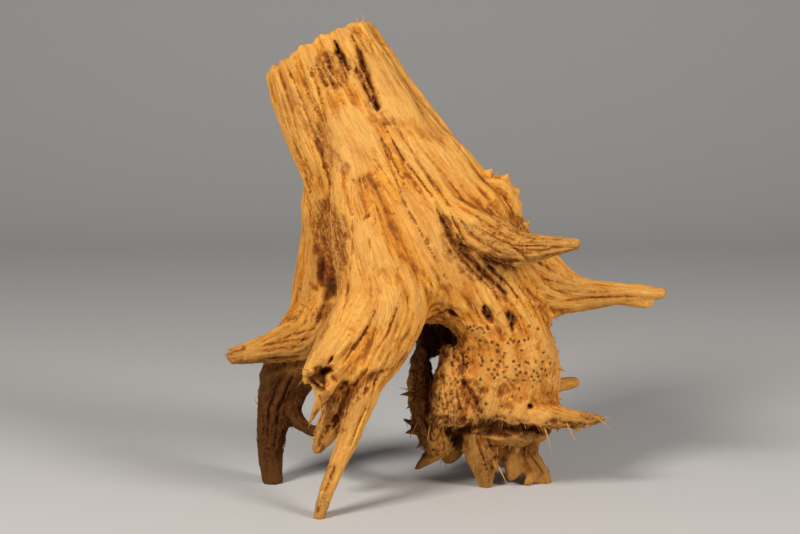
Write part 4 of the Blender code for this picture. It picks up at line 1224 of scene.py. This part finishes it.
real = shader(scatter, "GeometryNodeRealizeInstances")
scatter.links.new(toned.outputs[0], real.inputs[0])
dressed = shader(scatter, "GeometryNodeSetMaterial")
scatter.links.new(real.outputs[0], dressed.inputs["Geometry"])
scatter.links.new(scatter_in.outputs["Wood"], dressed.inputs["Material"])
scatter.links.new(dressed.outputs[0], scatter_out.inputs["Slivers"])

slivers = placed("loose_slivers", root.data.copy())
laying = slivers.modifiers.new("lay_slivers", "NODES")
laying.node_group = scatter
chosen = {
    "Sliver": one_sliver, "Wood": sliver_wood, "Most": SLIVERS_PER_SQUARE_METRE,
    "Shortest": SHORTEST_SLIVER, "Longest": LONGEST_SLIVER, "Seed": 4,
}
for item in scatter.interface.items_tree:
    if item.in_out == "INPUT" and item.name in chosen:
        laying[item.identifier] = chosen[item.name]
slivers.data = applied_mesh(slivers)
slivers.modifiers.clear()
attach(slivers, "root")
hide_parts("driftwood_root")

# Hanging splinters: longer needles of the same wood, split off at the breaks and edges of the root.
# Each is a thin, bent, tapering strip that holds on at its thick end, sunk a little into the wood.
# In millimetres: foot x, y, z, tip x, y, z and half width.
NEEDLES = [
    (88, -36, 62, 98, -38, 39, 0.9), (47, -12, 24, 56, -24, 6, 1.0),
    (-111, -86, 102, -108, -84, 80, 0.9), (108, -36, 66, 115, -39, 50, 0.9),
    (136, -30, 69, 147, -31, 73, 0.6), (135, -31, 71, 148, -33, 62, 0.6),
    (138, -29, 71, 146, -27, 66, 0.5), (-148, 2, 36, -145, -4, 43, 0.5),
    (-172, 10, 74, -175, 8, 82, 0.5), (-128, -4, 52, -121, -8, 46, 0.6),
    (-118, -60, 58, -124, -62, 54, 0.5), (-97, -96, 132, -90, -104, 138, 0.7),
    (-104, -98, 136, -99, -106, 141, 0.7), (-120, -96, 128, -126, -102, 131, 0.8),
    (-24, -14, 66, -30, -18, 52, 1.0), (-14, -22, 62, -18, -28, 50, 0.9),
    (-30, -6, 90, -43, -12, 94, 0.9), (42, -8, 284, 47, -10, 291, 0.9),
    (50, -6, 281, 57, -9, 284, 0.8), (58, -4, 270, 66, -6, 272, 0.8),
    (70, -52, 226, 84, -62, 218, 0.7), (34, -58, 240, 46, -66, 247, 0.7),
    (20, -52, 252, 33, -60, 256, 0.7),
]
NEEDLE_RINGS = 6
NEEDLE_BEND = 0.12
NEEDLE_SUNK = 2.5 * MM
NEEDLE_SECTION = ((1, 0.2), (0.2, 0.6), (-1, 0.3), (-0.5, -0.6), (0.6, -0.5))

shape = bmesh.new()
random.seed(23)
for row in NEEDLES:
    foot, tip = Vector(row[:3]) * MM - MIDDLE, Vector(row[3:6]) * MM - MIDDLE
    along = (tip - foot).normalized()
    across = along.orthogonal().normalized()
    through = along.cross(across)
    bend = (across * random.uniform(-1, 1) + through * random.uniform(-1, 1)) * NEEDLE_BEND
    start = foot - along * NEEDLE_SUNK
    rings = []
    for i in range(NEEDLE_RINGS):
        share = i / (NEEDLE_RINGS - 1)
        centre = start.lerp(tip, share) + bend * (tip - start).length * share * share
        half_width = row[6] * MM * (1.15 - share)
        rings.append([
            shape.verts.new(centre + across * (half_width * x) + through * (half_width * y))
            for x, y in NEEDLE_SECTION
        ])
    join_rings(shape, rings)
    shape.faces.new(rings[0])
    shape.faces.new(rings[-1])
bmesh.ops.recalc_face_normals(shape, faces=shape.faces)
needle_mesh = bpy.data.meshes.new("hanging_splinters")
shape.to_mesh(needle_mesh)
shape.free()
# Each needle gets a fixed tone, a little painted shade and half the stain brown.
for name, value in (("tone", 0.7), ("occlusion_shade", 0.15), ("painted_shade", 0.15), ("stain_and_shade", 0.5)):
    layer = needle_mesh.attributes.new(name, "FLOAT", "POINT")
    layer.data.foreach_set("value", np.full(len(needle_mesh.vertices), value, np.float32))
needle_mesh.materials.append(sliver_wood)
needles = placed("hanging_splinters", needle_mesh)
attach(needles, "root")
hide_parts("driftwood_root")

# The floor the root stands on: one wide sheet of pale paper that sweeps up behind it.
SWEEP_START = 1.6
SWEEP_RADIUS = 0.9
profile = [(-4.0, 0.0), (SWEEP_START, 0.0)]
for i in range(1, 13):
    turn = math.radians(90 * i / 12)
    profile.append((SWEEP_START + SWEEP_RADIUS * math.sin(turn), SWEEP_RADIUS * (1 - math.cos(turn))))
profile.append((SWEEP_START + SWEEP_RADIUS, 4.0))
paper = bpy.data.meshes.new("pale_floor")
paper.from_pydata(
    [(side, y, z) for y, z in profile for side in (-5.0, 5.0)], [],
    [(2 * i, 2 * i + 1, 2 * i + 3, 2 * i + 2) for i in range(len(profile) - 1)],
)
paper.shade_smooth()
floor = placed("pale_floor", paper)
floor_paint, _, floor_surface = new_material("pale_floor", 0.9, 0.5)
floor_surface.inputs["Base Color"].default_value = (0.58, 0.58, 0.59, 1)
paper.materials.append(floor_paint)


# The light: one soft lamp high at the left front, a second at the right front, and a dim room.
def lamp(name, place, size, power, colour):
    """A square soft lamp that faces the middle of the root."""
    data = bpy.data.lights.new(name, "AREA")
    data.size = size
    data.energy = power
    data.color = colour
    thing = placed(name, data)
    thing.location = place
    thing.rotation_euler = (VIEW_CENTRE - Vector(place)).to_track_quat("-Z", "Y").to_euler()


lamp("left_lamp", (-1.2, -1.3, 1.5), 0.6, 40, (1.0, 0.95, 0.87))
lamp("right_lamp", (1.5, -1.2, 1.2), 0.7, 29, (1.0, 0.95, 0.87))
room = bpy.data.worlds.new("room")
room.use_nodes = True
room.node_tree.nodes["Background"].inputs["Color"].default_value = (0.86, 0.86, 0.88, 1)
room.node_tree.nodes["Background"].inputs["Strength"].default_value = 0.12
bpy.context.scene.world = room
bpy.context.scene.view_settings.view_transform = "Standard"
